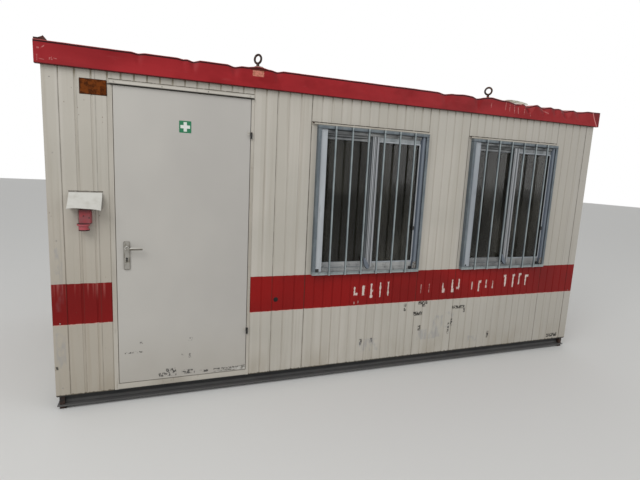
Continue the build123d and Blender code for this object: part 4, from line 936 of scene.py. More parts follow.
# %% Folded sheet and plates
def fold(reach):
    """A fascia's closed outline as out from the wall and height over its foot, outer face first."""
    soft, top = 0.0012, FASCIA_TALL
    rise = np.linspace(soft, top - soft, 15)
    outer = [(0.0, 0.0), ((reach - soft) / 2, 0.0), (reach - soft, 0.0), (reach - 0.3 * soft, 0.3 * soft)]
    outer += [(reach, height) for height in rise] + [(reach - 0.3 * soft, top - 0.3 * soft)]
    outer += [(out, top) for out in np.linspace(reach - soft, -FASCIA_FLANGE, 9)]
    inner_out, inner_top = reach - FASCIA_SHEET, top - FASCIA_SHEET
    inner = [(out, inner_top) for out in np.linspace(-FASCIA_FLANGE, inner_out, 7)]
    inner += [(inner_out, height) for height in rise[-3:1:-1]]
    inner += [(inner_out, FASCIA_SHEET), (inner_out / 2, FASCIA_SHEET), (0.0, FASCIA_SHEET)]
    return np.array(outer + inner).T[:, None]


def folded_face(along, rise, dips):
    """How far the face is pushed in: V-shaped dents that narrow downwards, depth * (1 - distance / width)."""
    upper = np.clip((rise - 0.2) / 0.8, 0, 1)
    push = 0.0
    for at, deep, wide in dips:
        lean = at + 0.25 * wide * (1 - upper)
        push = push + deep * upper * np.clip(1 - np.abs(along - lean) / (wide * (0.1 + 1.1 * upper)), 0, 1)
    return np.clip(1.4 * push, 0, DEEPEST)


def rectangle(left, right, low, high):
    """Four corners of (across, up)."""
    return [(left, low), (right, low), (right, high), (left, high)]


def pushed(outline, near, far, chamfer=0.0012):
    """An outline of (across, up) as rings of (across, depth, up) from near to far, its far edge chamfered."""
    outline = np.array(outline)
    middle = (outline.min(axis=0) + outline.max(axis=0)) / 2
    shrink = 1 - chamfer / np.abs(outline - middle).max(axis=0)
    step = math.copysign(chamfer, far - near)
    layers = ((near, 1.0), (far - step, 1.0), (far, shrink))
    outline = outline - middle
    return np.stack([np.insert(middle + outline * size, 1, depth, axis=1) for depth, size in layers])


def beside(wall, along, off, up):
    """A bar whose points are start + along * way + off * out, `up` over the fascia's foot.

    A wall is a start, the way along it and the way out of it, each as (x, y)."""
    x, y = (start + along * way + off * out for start, way, out in zip(*wall))
    return bar(points(x, y, FASCIA_LOW.z + up))


def boxed_end(wall, at, turn):
    """The plates that close a fascia's end: one across it, one at its back, seated against each other."""
    end, top = at + turn * FASCIA_OUT, FASCIA_TALL
    across = pushed(rectangle(0.0, FASCIA_OUT - 0.0005, 0.0, top - 0.0003), at + turn * FASCIA_SHEET, at)
    back = pushed(rectangle(at, end, 0.0003, top - 0.0006), FASCIA_SHEET, 0.0003)
    return [beside(wall, across[..., 1], across[..., 0], across[..., 2]),
            beside(wall, back[..., 0], back[..., 1], back[..., 2])]


print("fold of", fold(FASCIA_OUT).shape[-1], "corners,", 1000 * FASCIA_SHEET, "mm sheet")

# %% Fascias
def long_fascia(side, wall, dips, seed):
    """The fold carried along the door side or the rear, past both end walls, sunk and dented."""
    tips = np.linspace(-FASCIA_OUT, -0.0001, 3)
    even = np.linspace(0, WALL_LONG, int(WALL_LONG / FASCIA_STEP))
    along = np.concatenate([tips, even, WALL_LONG - tips[::-1]])[:, None]
    off, height = fold(FASCIA_OUT)
    off = np.where((along < 0) | (along > WALL_LONG), np.maximum(off, 0), off)
    rise = height / FASCIA_TALL + 0 * along
    inside = np.clip(np.minimum(along, WALL_LONG - along) / 0.03, 0, 1)
    ripple = 0.0035 * waves(along + 0.7 * height, seed + 1, 0.6) * np.sin(np.pi * rise)
    push = (folded_face(along, rise, dips) + ripple) * (np.clip(off / FASCIA_OUT, 0, 1) * inside)
    drop = edge_drop(along, dips, seed) * share_of_drop(-off) * np.clip((rise - 0.3) / 0.7, 0, 1)
    shapes = [beside(wall, along, off - push, height - drop), *boxed_end(wall, -FASCIA_OUT, 1),
              *boxed_end(wall, WALL_LONG + FASCIA_OUT, -1)]
    # The face's tilt becomes the facet mark, which the finish paints as light and shade.
    tilt = np.gradient(push, along[:, 0], axis=0)
    rises = [rise.ravel()] + [(spots[:, 2] - FASCIA_LOW.z) / FASCIA_TALL for spots, faces in shapes[1:]]
    facets = [np.clip(0.5 - 0.9 * tilt, 0, 1).ravel()] + [np.full(len(shape[0]), 0.5) for shape in shapes[1:]]
    piece("dented_fascia_" + side, "cabin", "fascia_red", "fascia_red", *shapes, corner=18.0,
          marks={"rise": rises, "facet": facets}, instead="fascia_" + side)


def end_fascia(side, wall, seed):
    """The flat fascia of an end wall, between the long ones, with its face a little wavy."""
    along = np.linspace(0, WALL_DEEP, 130)[:, None]
    off, height = fold(END_OUT)
    narrowed = FASCIA_FLANGE + 0.001 + along / WALL_DEEP * (WALL_DEEP - 2 * FASCIA_FLANGE - 0.002)
    rise = height / FASCIA_TALL + 0 * along
    ripple = 0.0014 * waves(along + 0.7 * height, seed, 0.7) * np.sin(np.pi * height / FASCIA_TALL)
    reach = np.where(off > 0, off + ripple * off / END_OUT, off)
    piece("wavy_fascia_" + side, "cabin", "fascia_red", "fascia_red",
          beside(wall, np.where(off < 0, narrowed, along), reach, height), corner=30.0,
          marks={"rise": [rise.ravel()], "facet": [np.full(rise.size, 0.5)]}, instead="fascia_" + side)


long_fascia("front", ((LEFT_X, FRONT_Y), (1, 0), (0, -1)), FRONT_DIPS, FRONT_SEED)
long_fascia("rear", ((RIGHT_X, REAR_Y), (-1, 0), (0, 1)), REAR_DIPS, REAR_SEED)
end_fascia("left", ((LEFT_X, REAR_Y), (0, -1), (-1, 0)), 70)
end_fascia("right", ((RIGHT_X, FRONT_Y), (0, 1), (1, 0)), 80)
report("four fascias,", 4)

# %% [markdown]
# The roof sheet is one height field: broad troughs and narrow ribs along X, the same ribs as in the CAD,
# sunk at both long edges by the rule above and slightly dished between the rails where people have
# walked. The rows of points include every rib's corners, so the ribs keep their shape.

# %% Roof sheet
ROOF_RIBS, RIB_HALF, RIB_SLOPE, RIB_DEPTH = 20, 0.015, 0.015, 0.014
RIB_PITCH = WALL_LONG / ROOF_RIBS


def trough(x):
    """0 on a rib, 1 in a trough: distance from the rib's middle, less its half width, over its slope."""
    from_rib = np.abs((x - LEFT_X) / RIB_PITCH % 1.0 - 0.5) * RIB_PITCH
    return np.clip((from_rib - RIB_HALF) / RIB_SLOPE, 0, 1)


def roof_stations():
    """Places along X: a fine even run, with the corners of every rib added."""
    middles = LEFT_X + RIB_PITCH * (np.arange(ROOF_RIBS)[:, None] + 0.5)
    sides = np.array([-1, 1])[None]
    corners = (middles + sides * RIB_HALF, middles + sides * (RIB_HALF + RIB_SLOPE))
    even = np.arange(LEFT_X, RIGHT_X, 0.02)
    return np.unique(np.round(np.concatenate([even, [RIGHT_X]] + [c.ravel() for c in corners]), 5))


x = roof_stations()[:, None]
edge = np.array([0, 0.01, 0.02, 0.03, 0.04, 0.05, 0.06, 0.08, 0.10, 0.12])
between = np.linspace(FRONT_Y + 0.24, REAR_Y - 0.24, 17)
y = np.concatenate([FRONT_Y + edge, between, REAR_Y - edge[::-1]])[None]
sunk = edge_drop(x - LEFT_X, FRONT_DIPS, FRONT_SEED) * share_of_drop(y - FRONT_Y)
sunk = sunk + edge_drop(RIGHT_X - x, REAR_DIPS, REAR_SEED) * share_of_drop(REAR_Y - y)
dished = 0.003 * waves(x + 0.8 * y, 90, 1.3) * np.sin(np.pi * (y - FRONT_Y) / WALL_DEEP)
top = DECK_HIGH.z - 0.0002 - RIB_DEPTH * trough(x) - sunk - dished
upper = points(x, y, np.maximum(top, DECK_LOW.z + 0.0004))
foot = points(x, np.array([[REAR_Y, FRONT_Y]]), DECK_LOW.z)
piece("walked_roof_sheet", "cabin", "roof_steel", "roof_steel", bar(np.concatenate([upper, foot], axis=1)),
      corner=25.0, instead="roof_deck")
report("roof sheet,", 1)

# %% [markdown]
# The lifting eyes are forged rings on a short stem and a collar, thick with rust. A ring is a torus whose
# bar is slightly flattened and hammered; the stem is a turned profile. Both are simple formulas, and the
# rust grows in the bump of the finish. Beside them ends of loose sheet have curled up at the door side:
# a dark one at the corner, pale ones at the left eye's foot and over the dent near the right eye.

# %% Lifting eyes and loose sheet
EYE_RING, EYE_BAR, EYE_STEM, EYE_COLLAR, COLLAR_THICK = 0.031, 0.0088, 0.0125, 0.0255, 0.0088
EYE_LOW, EYE_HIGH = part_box("lifting_eyes")
EYE_RISE = EYE_HIGH.z - EYE_LOW.z - EYE_RING - 0.009
EYE_LEFT, EYE_RIGHT, EYE_IN = -1.073, 1.109, 0.02
EYE_SPOTS = (  # x, y, turn in degrees
    (EYE_LEFT, FRONT_Y + EYE_IN, 39), (EYE_RIGHT, FRONT_Y + EYE_IN, 32),
    (EYE_LEFT, REAR_Y - EYE_IN, 40), (EYE_RIGHT, REAR_Y - EYE_IN, 75))
DARK_END = ((-0.029, 0.012), (-0.004, 0.013), (0.012, 0.019), (0.027, 0.028), (0.035, 0.018), (0.048, 0.003))
PALE_END = ((3.775, 0.001), (3.80, 0.010), (3.86, 0.015), (3.93, 0.013), (3.99, 0.008), (4.06, -0.005))
PALE_FOOT = ((1.386, -0.004), (1.396, 0.013), (1.43, 0.016), (1.455, 0.014), (1.470, 0.006), (1.495, -0.004))


def full_turn(steps):
    """Even angles round a circle."""
    return np.linspace(0, 2 * np.pi, steps, endpoint=False)


def turned(profile, steps=28):
    """A profile of (radius, height) spun about Z: one ring of points for each of its corners."""
    radius, height = profile.T[:, :, None]
    return points(radius * np.cos(full_turn(steps)), radius * np.sin(full_turn(steps)), height)


def eye(x, y, turn, seed):
    """Ring: a torus whose bar radius wavers by a few tenths of a millimetre; stem: a waisted turning."""
    around, across = full_turn(48)[:, None], full_turn(18)[None]
    thick = EYE_BAR * (1 - 0.08 * waves(np.sin(around) + 0 * across, seed, 0.9))
    wide = EYE_RING + thick * np.cos(across)
    ring = points(0.92 * thick * np.sin(across), wide * np.cos(around), EYE_RISE + wide * np.sin(around))
    neck = EYE_RISE - EYE_RING
    profile = np.array([(EYE_COLLAR - 0.001, 0.0), (EYE_COLLAR, 0.001), (EYE_COLLAR, COLLAR_THICK - 0.002),
                        (EYE_COLLAR - 0.002, COLLAR_THICK), (EYE_STEM + 0.003, COLLAR_THICK + 0.001),
                        (EYE_STEM, COLLAR_THICK + 0.006), (EYE_STEM * 0.92, neck - 0.006),
                        (EYE_STEM * 0.6, neck + 0.004)])
    cos, sin = math.cos(math.radians(turn)), math.sin(math.radians(turn))
    spin = np.array([[cos, sin, 0], [-sin, cos, 0], [0, 0, 1]])
    place = np.array([x, y, EYE_LOW.z])
    return [bar(ring @ spin + place, ring=True), bar(turned(profile) @ spin + place)]


def loose_sheet(places, root, drop, lean, thick=0.0016):
    """A strip of sheet standing on the roof edge: its height over the edge follows (along, height) pairs."""
    along = np.linspace(places[0][0], places[-1][0], 30)[:, None]
    tall = np.interp(along, *np.array(places).T) + 0.0015 * waves(along, 7, 0.05)
    share = np.array([[0, 0.25, 0.5, 0.75, 1.0]])
    strip = points(LEFT_X + along, root - lean * share ** 2, FASCIA_HIGH.z - drop + share * (tall + drop))
    return bar(np.concatenate([strip, (strip + np.array([0, thick, 0]))[:, ::-1]], axis=1))


piece("rusty_lifting_eyes", "cabin", "eye_iron", "eye_iron", instead="lifting_eyes",
      *(shape for seed, spot in enumerate(EYE_SPOTS) for shape in eye(*spot, seed)))
piece("dark_loose_sheet", "cabin", "dark_sheet", "roof_steel",
      loose_sheet(DARK_END, FRONT_Y - 0.014, 0.0005, 0.008))
piece("pale_loose_sheets", "cabin", "pale_sheet", "roof_steel",
      loose_sheet(PALE_END, FRONT_Y - 0.018, 0.012, 0.004),
      loose_sheet(PALE_FOOT, FRONT_Y - 0.014, 0.006, 0.006))
report("four lifting eyes and three loose ends,", 3)

# %% [markdown]
# Over the power inlet hangs a rain hood of thin white sheet, cut by hand and curled by the weather. Its
# front edge waves up and down, and the right corner droops. The top is a grid between the wall and the
# wavy edge, and the two cheeks are small triangles of the same sheet; each gets its wall from the same
# thickness as in the CAD.

# %% Rain hood
HOOD_LOW, HOOD_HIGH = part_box("inlet_hood")
HOOD_SHEET = 0.0025


def hood_edge(share):
    """Height of the front edge along the hood: 0.006 sin(1.15 pi s) - 0.008 s^3 + 0.002 sin(9 s)."""
    wave = 0.006 * np.sin(np.pi * share * 1.15) - 0.008 * share ** 3 + 0.002 * np.sin(9.0 * share)
    return HOOD_LOW.z + 0.008 + wave


def hood_top():
    """Slope = wall line to front edge, sagging a little between; the second layer lies one sheet under it."""
    share, down = np.linspace(0, 1, 41)[:, None], np.linspace(0, 1, 17)[None]
    x = HOOD_LOW.x + share * (HOOD_HIGH.x - HOOD_LOW.x)
    y = HOOD_HIGH.y + (HOOD_LOW.y + 0.002 - HOOD_HIGH.y) * down
    z = HOOD_HIGH.z - 0.001 + (hood_edge(share) - HOOD_HIGH.z) * down - 0.004 * np.sin(np.pi * down)
    top = points(x, y, z)
    under = top - np.array([0, -0.35, 0.9]) * HOOD_SHEET
    return bar(np.concatenate([top, under[:, ::-1]], axis=1))


def hood_cheek(share, thick):
    """A triangle from the wall to the front edge under the slope, `thick` metres wide along X."""
    x = HOOD_LOW.x + share * (HOOD_HIGH.x - HOOD_LOW.x)
    foot = HOOD_LOW.z + 0.002
    y, z = np.array([(HOOD_HIGH.y, foot), (HOOD_HIGH.y, HOOD_HIGH.z - 0.006),
                     (HOOD_LOW.y + 0.006, hood_edge(share) - 0.002), (HOOD_LOW.y + 0.012, foot)]).T
    return bar(points(np.array([[x], [x + thick]]), y, z))


piece("wavy_rain_hood", "cabin", "hood_white", "hood_white", hood_top(), hood_cheek(0.004, HOOD_SHEET),
      hood_cheek(0.996, -HOOD_SHEET), instead="inlet_hood")
report("rain hood,", 1)

# %% [markdown]
# The windows are a make of their own: outside the sliding sashes stand two guides for a roller blind,
# and over them its box. The left guide shows its ribbed face, a cold white; the right one has a bevelled
# side and is coloured a darker blue grey, painted shade of a guide in shadow. Each window is described
# once, in measures from its own lower left corner, and made twice. A guide is an outline carried
# upwards, and the ribs are a sine in its depth.

# %% Window measures and guides
FRAMES_LOW, FRAMES_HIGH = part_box("window_frames")
WINDOW_WIDE, WINDOW_TALL = 1.010, FRAMES_HIGH.z - FRAMES_LOW.z
WINDOW_AT = (FRAMES_LOW.x, FRAMES_HIGH.x - WINDOW_WIDE)
FRAME_Y = FRONT_Y - FRAME_PROUD
LEFT_FACE, EDGE_FACE, SASH_RAIL, SASH_BACK = 0.060, 0.040, 0.046, 0.025
MULLION_LEFT, MULLION_RIGHT, GUIDE_LEFT = 0.4815, 0.5385, 0.957
PANE_LOW, PANE_HIGH = EDGE_FACE + SASH_RAIL, WINDOW_TALL - EDGE_FACE - SASH_RAIL
GUIDE_OUT, GUIDE_END = 0.024, 0.012
RIB_STEP, RIB_DEEP = 0.009, 0.0012


def in_window(start, spots):
    """Points in window measure (along, out from the frame's face, up) in the place of one window."""
    return spots * np.array([1, -1, 1]) + np.array([start, FRAME_Y, FRAMES_LOW.z])


def carried(start, outline, low, high, steps=2, level=False):
    """An outline of (along, out) carried up the window, or one of (up, out) carried along it if level."""
    run, (place, out) = np.linspace(low, high, steps)[:, None], np.array(outline).T[:, None]
    return bar(in_window(start, points(run, out, place) if level else points(place, out, run)))


def twice(make):
    """The shapes that make(start) gives for both windows."""
    return [shape for start in WINDOW_AT for shape in make(start)]


def ribbed_guide(start):
    """A flat box whose front depth follows a raised sine of the height, one rib every RIB_STEP."""
    z = np.arange(GUIDE_END, WINDOW_TALL - GUIDE_END, RIB_STEP / 6)[:, None]
    across = np.array([[0.005, 0.005, 0.008, 0.020, 0.034, 0.048, 0.059, 0.062, 0.062]])
    front = np.array([[0, 0.9, 1, 1, 1, 1, 1, 0.9, 0]])
    rib = RIB_DEEP * (0.5 + 0.5 * np.sin(2 * np.pi * z / RIB_STEP)) ** 0.7
    flat = (front == 1)
    out = -0.001 + front * (GUIDE_OUT + 0.001) - flat * rib
    return [bar(in_window(start, points(across, out, z)))]


def bevelled_guide(start):
    """The right guide: a bevel that catches the light, then a narrow front."""
    outline = ((GUIDE_LEFT, -0.001), (0.960, 0.003), (0.971, GUIDE_OUT - 0.001), (0.974, GUIDE_OUT),
               (1.000, GUIDE_OUT), (1.003, GUIDE_OUT - 0.002), (1.003, -0.001))
    return [carried(start, outline, GUIDE_END, WINDOW_TALL - GUIDE_END, 40)]


piece("ribbed_blind_guides", "cabin", "guide_white", "window_aluminium", *twice(ribbed_guide))
# The right guides' blue grey is painted shade.
piece("bevelled_blind_guides", "cabin", "guide_grey", "window_aluminium", *twice(bevelled_guide))
report("blind guides,", 2)

# %% [markdown]
# Between the guides the profiles show their steps as light and dark lines: a blind box with a rounded
# belly over the panes, a grooved mullion, stepped rails, and white glazing beads round the fixed pane.
# Stepped profiles are plain lists of (place, depth) pairs. The bead is carried round the pane's four
# corners, each point moved along the corner's diagonal, so its mitres are exact.

# %% Window profiles and beads
MULLION_STEPS = ((0.4815, 0.000), (0.4815, 0.010), (0.4835, 0.012), (0.4880, 0.012), (0.4890, 0.004),
                 (0.4925, 0.004), (0.4935, 0.014), (0.5040, 0.014), (0.5050, 0.005), (0.5095, 0.005),
                 (0.5105, 0.009), (0.5195, 0.009), (0.5200, 0.003), (0.5240, 0.003), (0.5250, 0.016),
                 (0.5360, 0.017), (0.5385, 0.014), (0.5385, 0.000))
HEAD_STEPS = ((0.000, 0.002), (0.018, 0.002), (0.019, 0.000), (0.024, 0.000), (0.025, 0.003), (0.044, 0.003))
FOOT_STEPS = ((0.002, 0.001), (0.002, 0.003), (0.016, 0.003), (0.018, 0.001), (0.036, 0.001),
              (0.0365, 0.0045), (0.0395, 0.0045), (0.0395, 0.001))
RAIL_STEPS = ((0.000, 0.002), (0.012, 0.002), (0.0135, 0.0005), (0.0165, 0.0005), (0.018, 0.003),
              (0.034, 0.003), (0.0355, 0.001), (0.044, 0.001))


def belly(low, high, out, count=12):
    """Half an ellipse between two heights, as (up, out) pairs, closed along the frame."""
    angle = np.linspace(0, np.pi, count)
    return np.column_stack([(low + high) / 2 - (high - low) / 2 * np.cos(angle), out * np.sin(angle) ** 0.8])


def stepped(pairs, up=0.0, out=0.0):
    """(place, depth) pairs of a face, closed by a back just under its ground, then moved up and out."""
    return np.array([*pairs, (pairs[-1][0], -0.001), (pairs[0][0], -0.001)]) + np.array([up, out])


def bead(start, left, right, low, high, wide, thick):
    """A rounded strip round a pane, mitred at four corners; wide is towards the glass."""
    inward = np.array([[0, 0, 0.3, 0.75, 1, 1]]) * wide
    out = np.array([[0, 0.75, 1, 1, 0.55, 0]]) * thick - 0.0008
    x, z, to_x, to_z = np.array([(left, low, 1, 1), (right, low, -1, 1), (right, high, -1, -1),
                                 (left, high, 1, -1)]).T[:, :, None]
    return bar(in_window(start, points(x + inward * to_x, out, z + inward * to_z)), ring=True)


def window_profiles(start):
    """Blind box, sash rails and foot rails of one window, as a list of shapes."""
    head, right = WINDOW_TALL - EDGE_FACE - 0.004, GUIDE_LEFT
    rows = ((belly(head, WINDOW_TALL - 0.006, 0.016), LEFT_FACE + 0.002, right, 24),
            (stepped(HEAD_STEPS, PANE_HIGH + 0.001, -SASH_BACK), LEFT_FACE, MULLION_LEFT),
            (stepped(RAIL_STEPS, EDGE_FACE + 0.001, -SASH_BACK), LEFT_FACE, MULLION_LEFT),
            (stepped(RAIL_STEPS, EDGE_FACE + 0.001), MULLION_RIGHT, right),
            (stepped(FOOT_STEPS), LEFT_FACE + 0.003, right))
    return [carried(start, *row, level=True) for row in rows]


piece("window_profiles", "cabin", "profile_grey", "window_aluminium", *twice(window_profiles))
piece("grooved_mullions", "cabin", "mullion_grey", "window_aluminium", *twice(
    lambda start: [carried(start, stepped(MULLION_STEPS), EDGE_FACE, WINDOW_TALL - EDGE_FACE - 0.001)]))
piece("glazing_beads", "cabin", "guide_white", "window_aluminium", *twice(
    lambda start: [bead(start, 0.5370, 0.9600, PANE_LOW - 0.010, PANE_HIGH + 0.010, 0.011, 0.006)]))
report("window profiles and beads,", 3)

# %% [markdown]
# Small hardware finishes the windows: a slanted latch at the foot of each mullion, a black pull on the
# fixed side with a dark strip over it, black caps in the lower corners and a small rusty bracket on the
# right guide. All are outlines pushed out a few millimetres, their far edge chamfered.

# %% Window hardware
LATCH = ((0.455, 0.128), (0.472, 0.122), (0.512, 0.062), (0.520, 0.030), (0.500, 0.022), (0.470, 0.060))
PULL = ((0.935, 0.370), (0.951, 0.370), (0.956, 0.392), (0.951, 0.407), (0.940, 0.407), (0.935, 0.395))
BRACKET = ((0.959, 0.016), (0.999, 0.016), (1.003, 0.050), (0.992, 0.084), (0.968, 0.078), (0.959, 0.044))
DOT = [(0.020 + 0.008 * math.cos(turn), 0.026 + 0.008 * math.sin(turn)) for turn in np.linspace(0, 6.02, 24)]
LEFT_CAPS = dict(zip(WINDOW_AT, (rectangle(0.001, 0.038, 0.012, 0.038), DOT)))


def put(start, outline, near, far):
    """An outline pushed out from one window's frame face."""
    return bar(in_window(start, pushed(outline, near, far)))


def black_parts(start):
    """Pull, left cap, right cap and the strip over the pull of one window."""
    return [put(start, PULL, -0.001, 0.014),
            put(start, LEFT_CAPS[start], GUIDE_OUT - 0.004, GUIDE_OUT + 0.002),
            put(start, rectangle(0.932, 0.956, 0.009, 0.035), -0.001, 0.012),
            put(start, rectangle(0.9455, 0.9555, 0.407, PANE_HIGH), -0.001, 0.0015)]


piece("mullion_latches", "cabin", "guide_grey", "window_aluminium",
      *twice(lambda start: [put(start, LATCH, 0.004, 0.019)]))
piece("black_caps_and_pulls", "cabin", "rubber_black", "hinge_black", *twice(black_parts))
piece("guide_brackets", "cabin", "bracket_steel", "lock_steel",
      *twice(lambda start: [put(start, BRACKET, GUIDE_OUT - 0.006, GUIDE_OUT + 0.002)]))
report("latches, caps and brackets,", 3)

# %% [markdown]
# Some small parts are too fine for the CAD: a sign and a bare plate, a plug in the red band, five contact
# pins in the inlet, screw heads, the welds that hold the grille's bars, and a strip of coat that has come
# away from the foot of the door. Round ones are a profile spun about the line on which they face out; a
# weld is a lump, an ellipsoid whose radius wavers, half sunk where bar and angle meet.

# %% Formulas for small parts
PLATES_LOW, PLATES_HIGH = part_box("lock_plates")
STRIP_LOW, STRIP_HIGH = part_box("drip_strip")
SPINDLE_X, SPINDLE_Z = (PLATES_LOW.x + PLATES_HIGH.x) / 2, 1.201
KEYHOLE_DROP, SEAL_OUT = 0.076, 0.0025
INLET_X, INLET_Y, INLET_Z = -2.2775, -1.199, 1.375
PIN_CIRCLE, PIN_COUNT, FIRST_PIN = 0.014, 5, 0.3
INLET_FACE, KNOB_FACE, KNOB_Z = FRONT_Y - 0.0616, FRONT_Y - 0.010, WALL_FOOT + 2.096
SCREW = ((0.0045, -0.001), (0.0045, 0.0006), (0.0040, 0.0014), (0.0028, 0.0021), (0.0012, 0.0024))
PLUG = ((0.0200, -0.003), (0.0200, 0.0012), (0.0180, 0.0024), (0.0120, 0.0034), (0.0060, 0.0040),
        (0.0020, 0.0042))
PIN = ((0.0032, -0.001), (0.0032, 0.0195), (0.0028, 0.0212), (0.0018, 0.0220), (0.0006, 0.0222))
KNOB = ((0.0080, -0.006), (0.0085, 0.002), (0.0075, 0.006), (0.0045, 0.009), (0.0015, 0.010))


def spun(at, profile, facing=(0.0, -1.0, 0.0), side=(0.0, 0.0, 1.0), steps=24):
    """A profile of (radius, rise) spun about the line that leaves `at` along `facing`."""
    axes = np.array([side, np.cross(facing, side), facing])
    return bar(np.array(at) + turned(np.array(profile), steps) @ axes)


def rounded(middle, wide, tall, radius, steps=6):
    """A rectangle with round corners as (across, up) points."""
    quarter = np.linspace(0, np.pi / 2, steps)
    return np.concatenate([
        np.column_stack([middle[0] + sx * (wide / 2 - radius) + radius * np.cos(quarter + turn * np.pi / 2),
                         middle[1] + sz * (tall / 2 - radius) + radius * np.sin(quarter + turn * np.pi / 2)])
        for sx, sz, turn in ((1, 1, 0), (-1, 1, 1), (-1, -1, 2), (1, -1, 3))])


def lump(at, sizes, seed):
    """An ellipsoid: latitude rings of radius cos(a), each size times it, with a seeded waver of a tenth."""
    latitude = np.linspace(-1.45, 1.45, 7)[:, None]
    longitude = full_turn(10)[None]
    waver = 1 - 0.2 * waves(np.sin(longitude + seed) + latitude, seed, 1.1, 3)
    flat = np.cos(latitude)
    ball = points(flat * np.cos(longitude), flat * np.sin(longitude), np.sin(latitude))
    return bar(ball * waver[..., None] * np.array(sizes) + np.array(at))


def grille_welds(side, seed):
    """Two lumps beside every bar, on the lower and on the upper angle."""
    low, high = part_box("window_grille_" + side)
    y = low.y + 2 * BAR_RADIUS - BAR_LET_IN - 0.0005
    step = (high.x - low.x) / (GRILLE_BARS + 1)
    return [lump((low.x + step * (number + 1) + turn * BAR_RADIUS * 0.9, y, height),
                 (0.0042, 0.0032, GRILLE_LEG * 0.33), seed + number + turn)
            for number in range(GRILLE_BARS)
            for height in (low.z + GRILLE_LEG * 0.55, high.z - GRILLE_LEG * 0.55) for turn in (-1, 1)]


def peeled_strip():
    """A thin wedge along the leaf's foot: it widens towards the hinges and its upper edge curls out."""
    along, up = np.linspace(0, 1, 40)[:, None], np.linspace(0, 1, 8)[None]
    low = LEAF_LOW.z + 0.003 + 0.004 * waves(along, 31, 0.4)
    tall = 0.005 + 0.034 * along ** 1.3 * (0.75 + 0.35 * waves(along, 33, 0.25))
    curl = 0.0002 + 0.0042 * up ** 2 * (0.35 + 0.65 * along)
    outer = points(LEAF_HIGH.x - 0.003 - 0.262 * (1 - along), LEAF_LOW.y - curl - 0.0006, low + tall * up)
    return bar(np.concatenate([outer, (outer + np.array([0, 0.0008, 0]))[:, ::-1]], axis=1))


def leaf_seal():
    """Rubber lips on three edges of the leaf, SEAL_OUT proud: free side, head and foot."""
    left, right, low, high = LEAF_LOW.x, LEAF_HIGH.x - 0.02, LEAF_LOW.z, LEAF_HIGH.z
    edges = (rectangle(left - SEAL_OUT, left + 0.001, low - SEAL_OUT, high + SEAL_OUT),
             rectangle(left + 0.0012, right, high - 0.001, high + SEAL_OUT),
             rectangle(left + 0.0012, right, low - SEAL_OUT, low + 0.001))
    return [bar(pushed(edge, LEAF_LOW.y + 0.0060, LEAF_LOW.y + 0.0012, 0.0008)) for edge in edges]


def keyhole(radius, slot_wide, slot_deep):
    """A disc with a slot below it: circle points, then the slot's two lower corners."""
    half = slot_wide / 2
    start = math.asin(half / radius)
    turn = np.linspace(start - np.pi / 2, 1.5 * np.pi - start, 20)
    circle = np.column_stack([radius * np.cos(turn), radius * np.sin(turn)])
    outline = np.concatenate([circle, [(-half, -slot_deep), (half, -slot_deep)]])
    outline = outline + np.array([SPINDLE_X, SPINDLE_Z - KEYHOLE_DROP])
    return bar(pushed(outline, PLATES_LOW.y + 0.0010, PLATES_LOW.y - 0.0004, 0.0002))


def spindle_ring():
    """A torus flat on the lock plate: radius 11.8 mm + 2.1 mm cos(a), depth 2.4 mm sin(a)."""
    around, across = full_turn(32)[:, None], full_turn(10)[None]
    wide = 0.0118 + 0.0021 * np.cos(across)
    return bar(points(SPINDLE_X + wide * np.cos(around), PLATES_LOW.y - 0.0016 - 0.0024 * np.sin(across),
                      SPINDLE_Z + wide * np.sin(around)), ring=True)


print("screw of", len(SCREW), "corners, plug of", len(PLUG), "pin of", len(PIN), "knob of", len(KNOB))

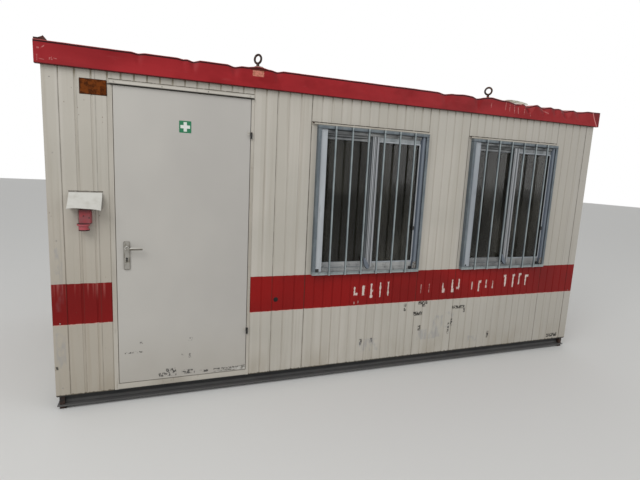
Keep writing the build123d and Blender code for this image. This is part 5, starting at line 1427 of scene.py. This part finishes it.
# %% Small parts in place
pins = [spun((INLET_X + PIN_CIRCLE * math.cos(turn), INLET_Y + PIN_CIRCLE * math.sin(turn), INLET_Z), PIN,
             (0, 0, -1), (1, 0, 0), 16)
        for turn in np.linspace(FIRST_PIN, FIRST_PIN + 2 * math.pi, PIN_COUNT, endpoint=False)]
screws = [spun((LEFT_X + x, STRIP_LOW.y + 0.0004, (STRIP_LOW.z + STRIP_HIGH.z) / 2), SCREW)
          for x in (0.43, 0.74, 1.06, 1.37)]
screws += [spun((LEFT_X + x, FRONT_Y + 0.0004, WALL_FOOT + z), SCREW)
           for x in (0.046, 4.954) for z in (0.06, 0.55, 1.15, 1.75, 2.24)]
sign, plate = rounded(SIGN_AT, SIGN_WIDE, SIGN_WIDE, 0.004), rounded(PLATE_AT, PLATE_WIDE, PLATE_TALL, 0.003)
piece("safety_sign", "door", "safety_green", "door_paint",
      bar(pushed(sign, LEAF_LOW.y + 0.0004, LEAF_LOW.y - 0.0014, 0.0004)))
piece("bare_plate", "cabin", "plate_orange", "rusty_steel",
      bar(pushed(plate, FRONT_Y + 0.002, FRONT_Y - 0.0022, 0.0006)))
piece("peeled_door_strip", "door", "peeled_film", "door_paint", peeled_strip())
piece("leaf_seal", "door", "seal_grey", "hinge_black", *leaf_seal())
# A near-black insert: the cylinder's face and the shade in the lock's opening, painted as one dark shape.
piece("lock_cylinder", "door", "keyhole_black", "hinge_black", keyhole(0.0075, 0.0095, 0.0240))
# A near-white ring that paints the highlight round the spindle.
piece("spindle_ring", "door", "bright_steel", "lock_steel", spindle_ring())
piece("band_plug", "cabin", "keyhole_black", "hinge_black",
      spun((LEFT_X + 1.623, FRONT_Y + 0.001, WALL_FOOT + 0.638), PLUG))
piece("contact_pins", "cabin", "pin_brass", "lock_steel", *pins)
piece("screw_heads", "cabin", "lock_steel", "lock_steel", *screws)
piece("inlet_screws", "cabin", "rubber_black", "hinge_black",
      *(spun((x, INLET_FACE, z), SCREW) for x, z in ((-2.2735, 1.4395), (-2.2390, 1.427))))
piece("rusty_knobs", "cabin", "eye_iron", "eye_iron",
      *(spun((LEFT_X + x, KNOB_FACE, KNOB_Z), KNOB) for x in (1.886, 3.437)))
for side, seed in (("left", 200), ("right", 300)):
    piece("grille_welds_" + side, "cabin", "grille_zinc", "grille_zinc", *grille_welds(side, seed))
report("small parts,", 13)
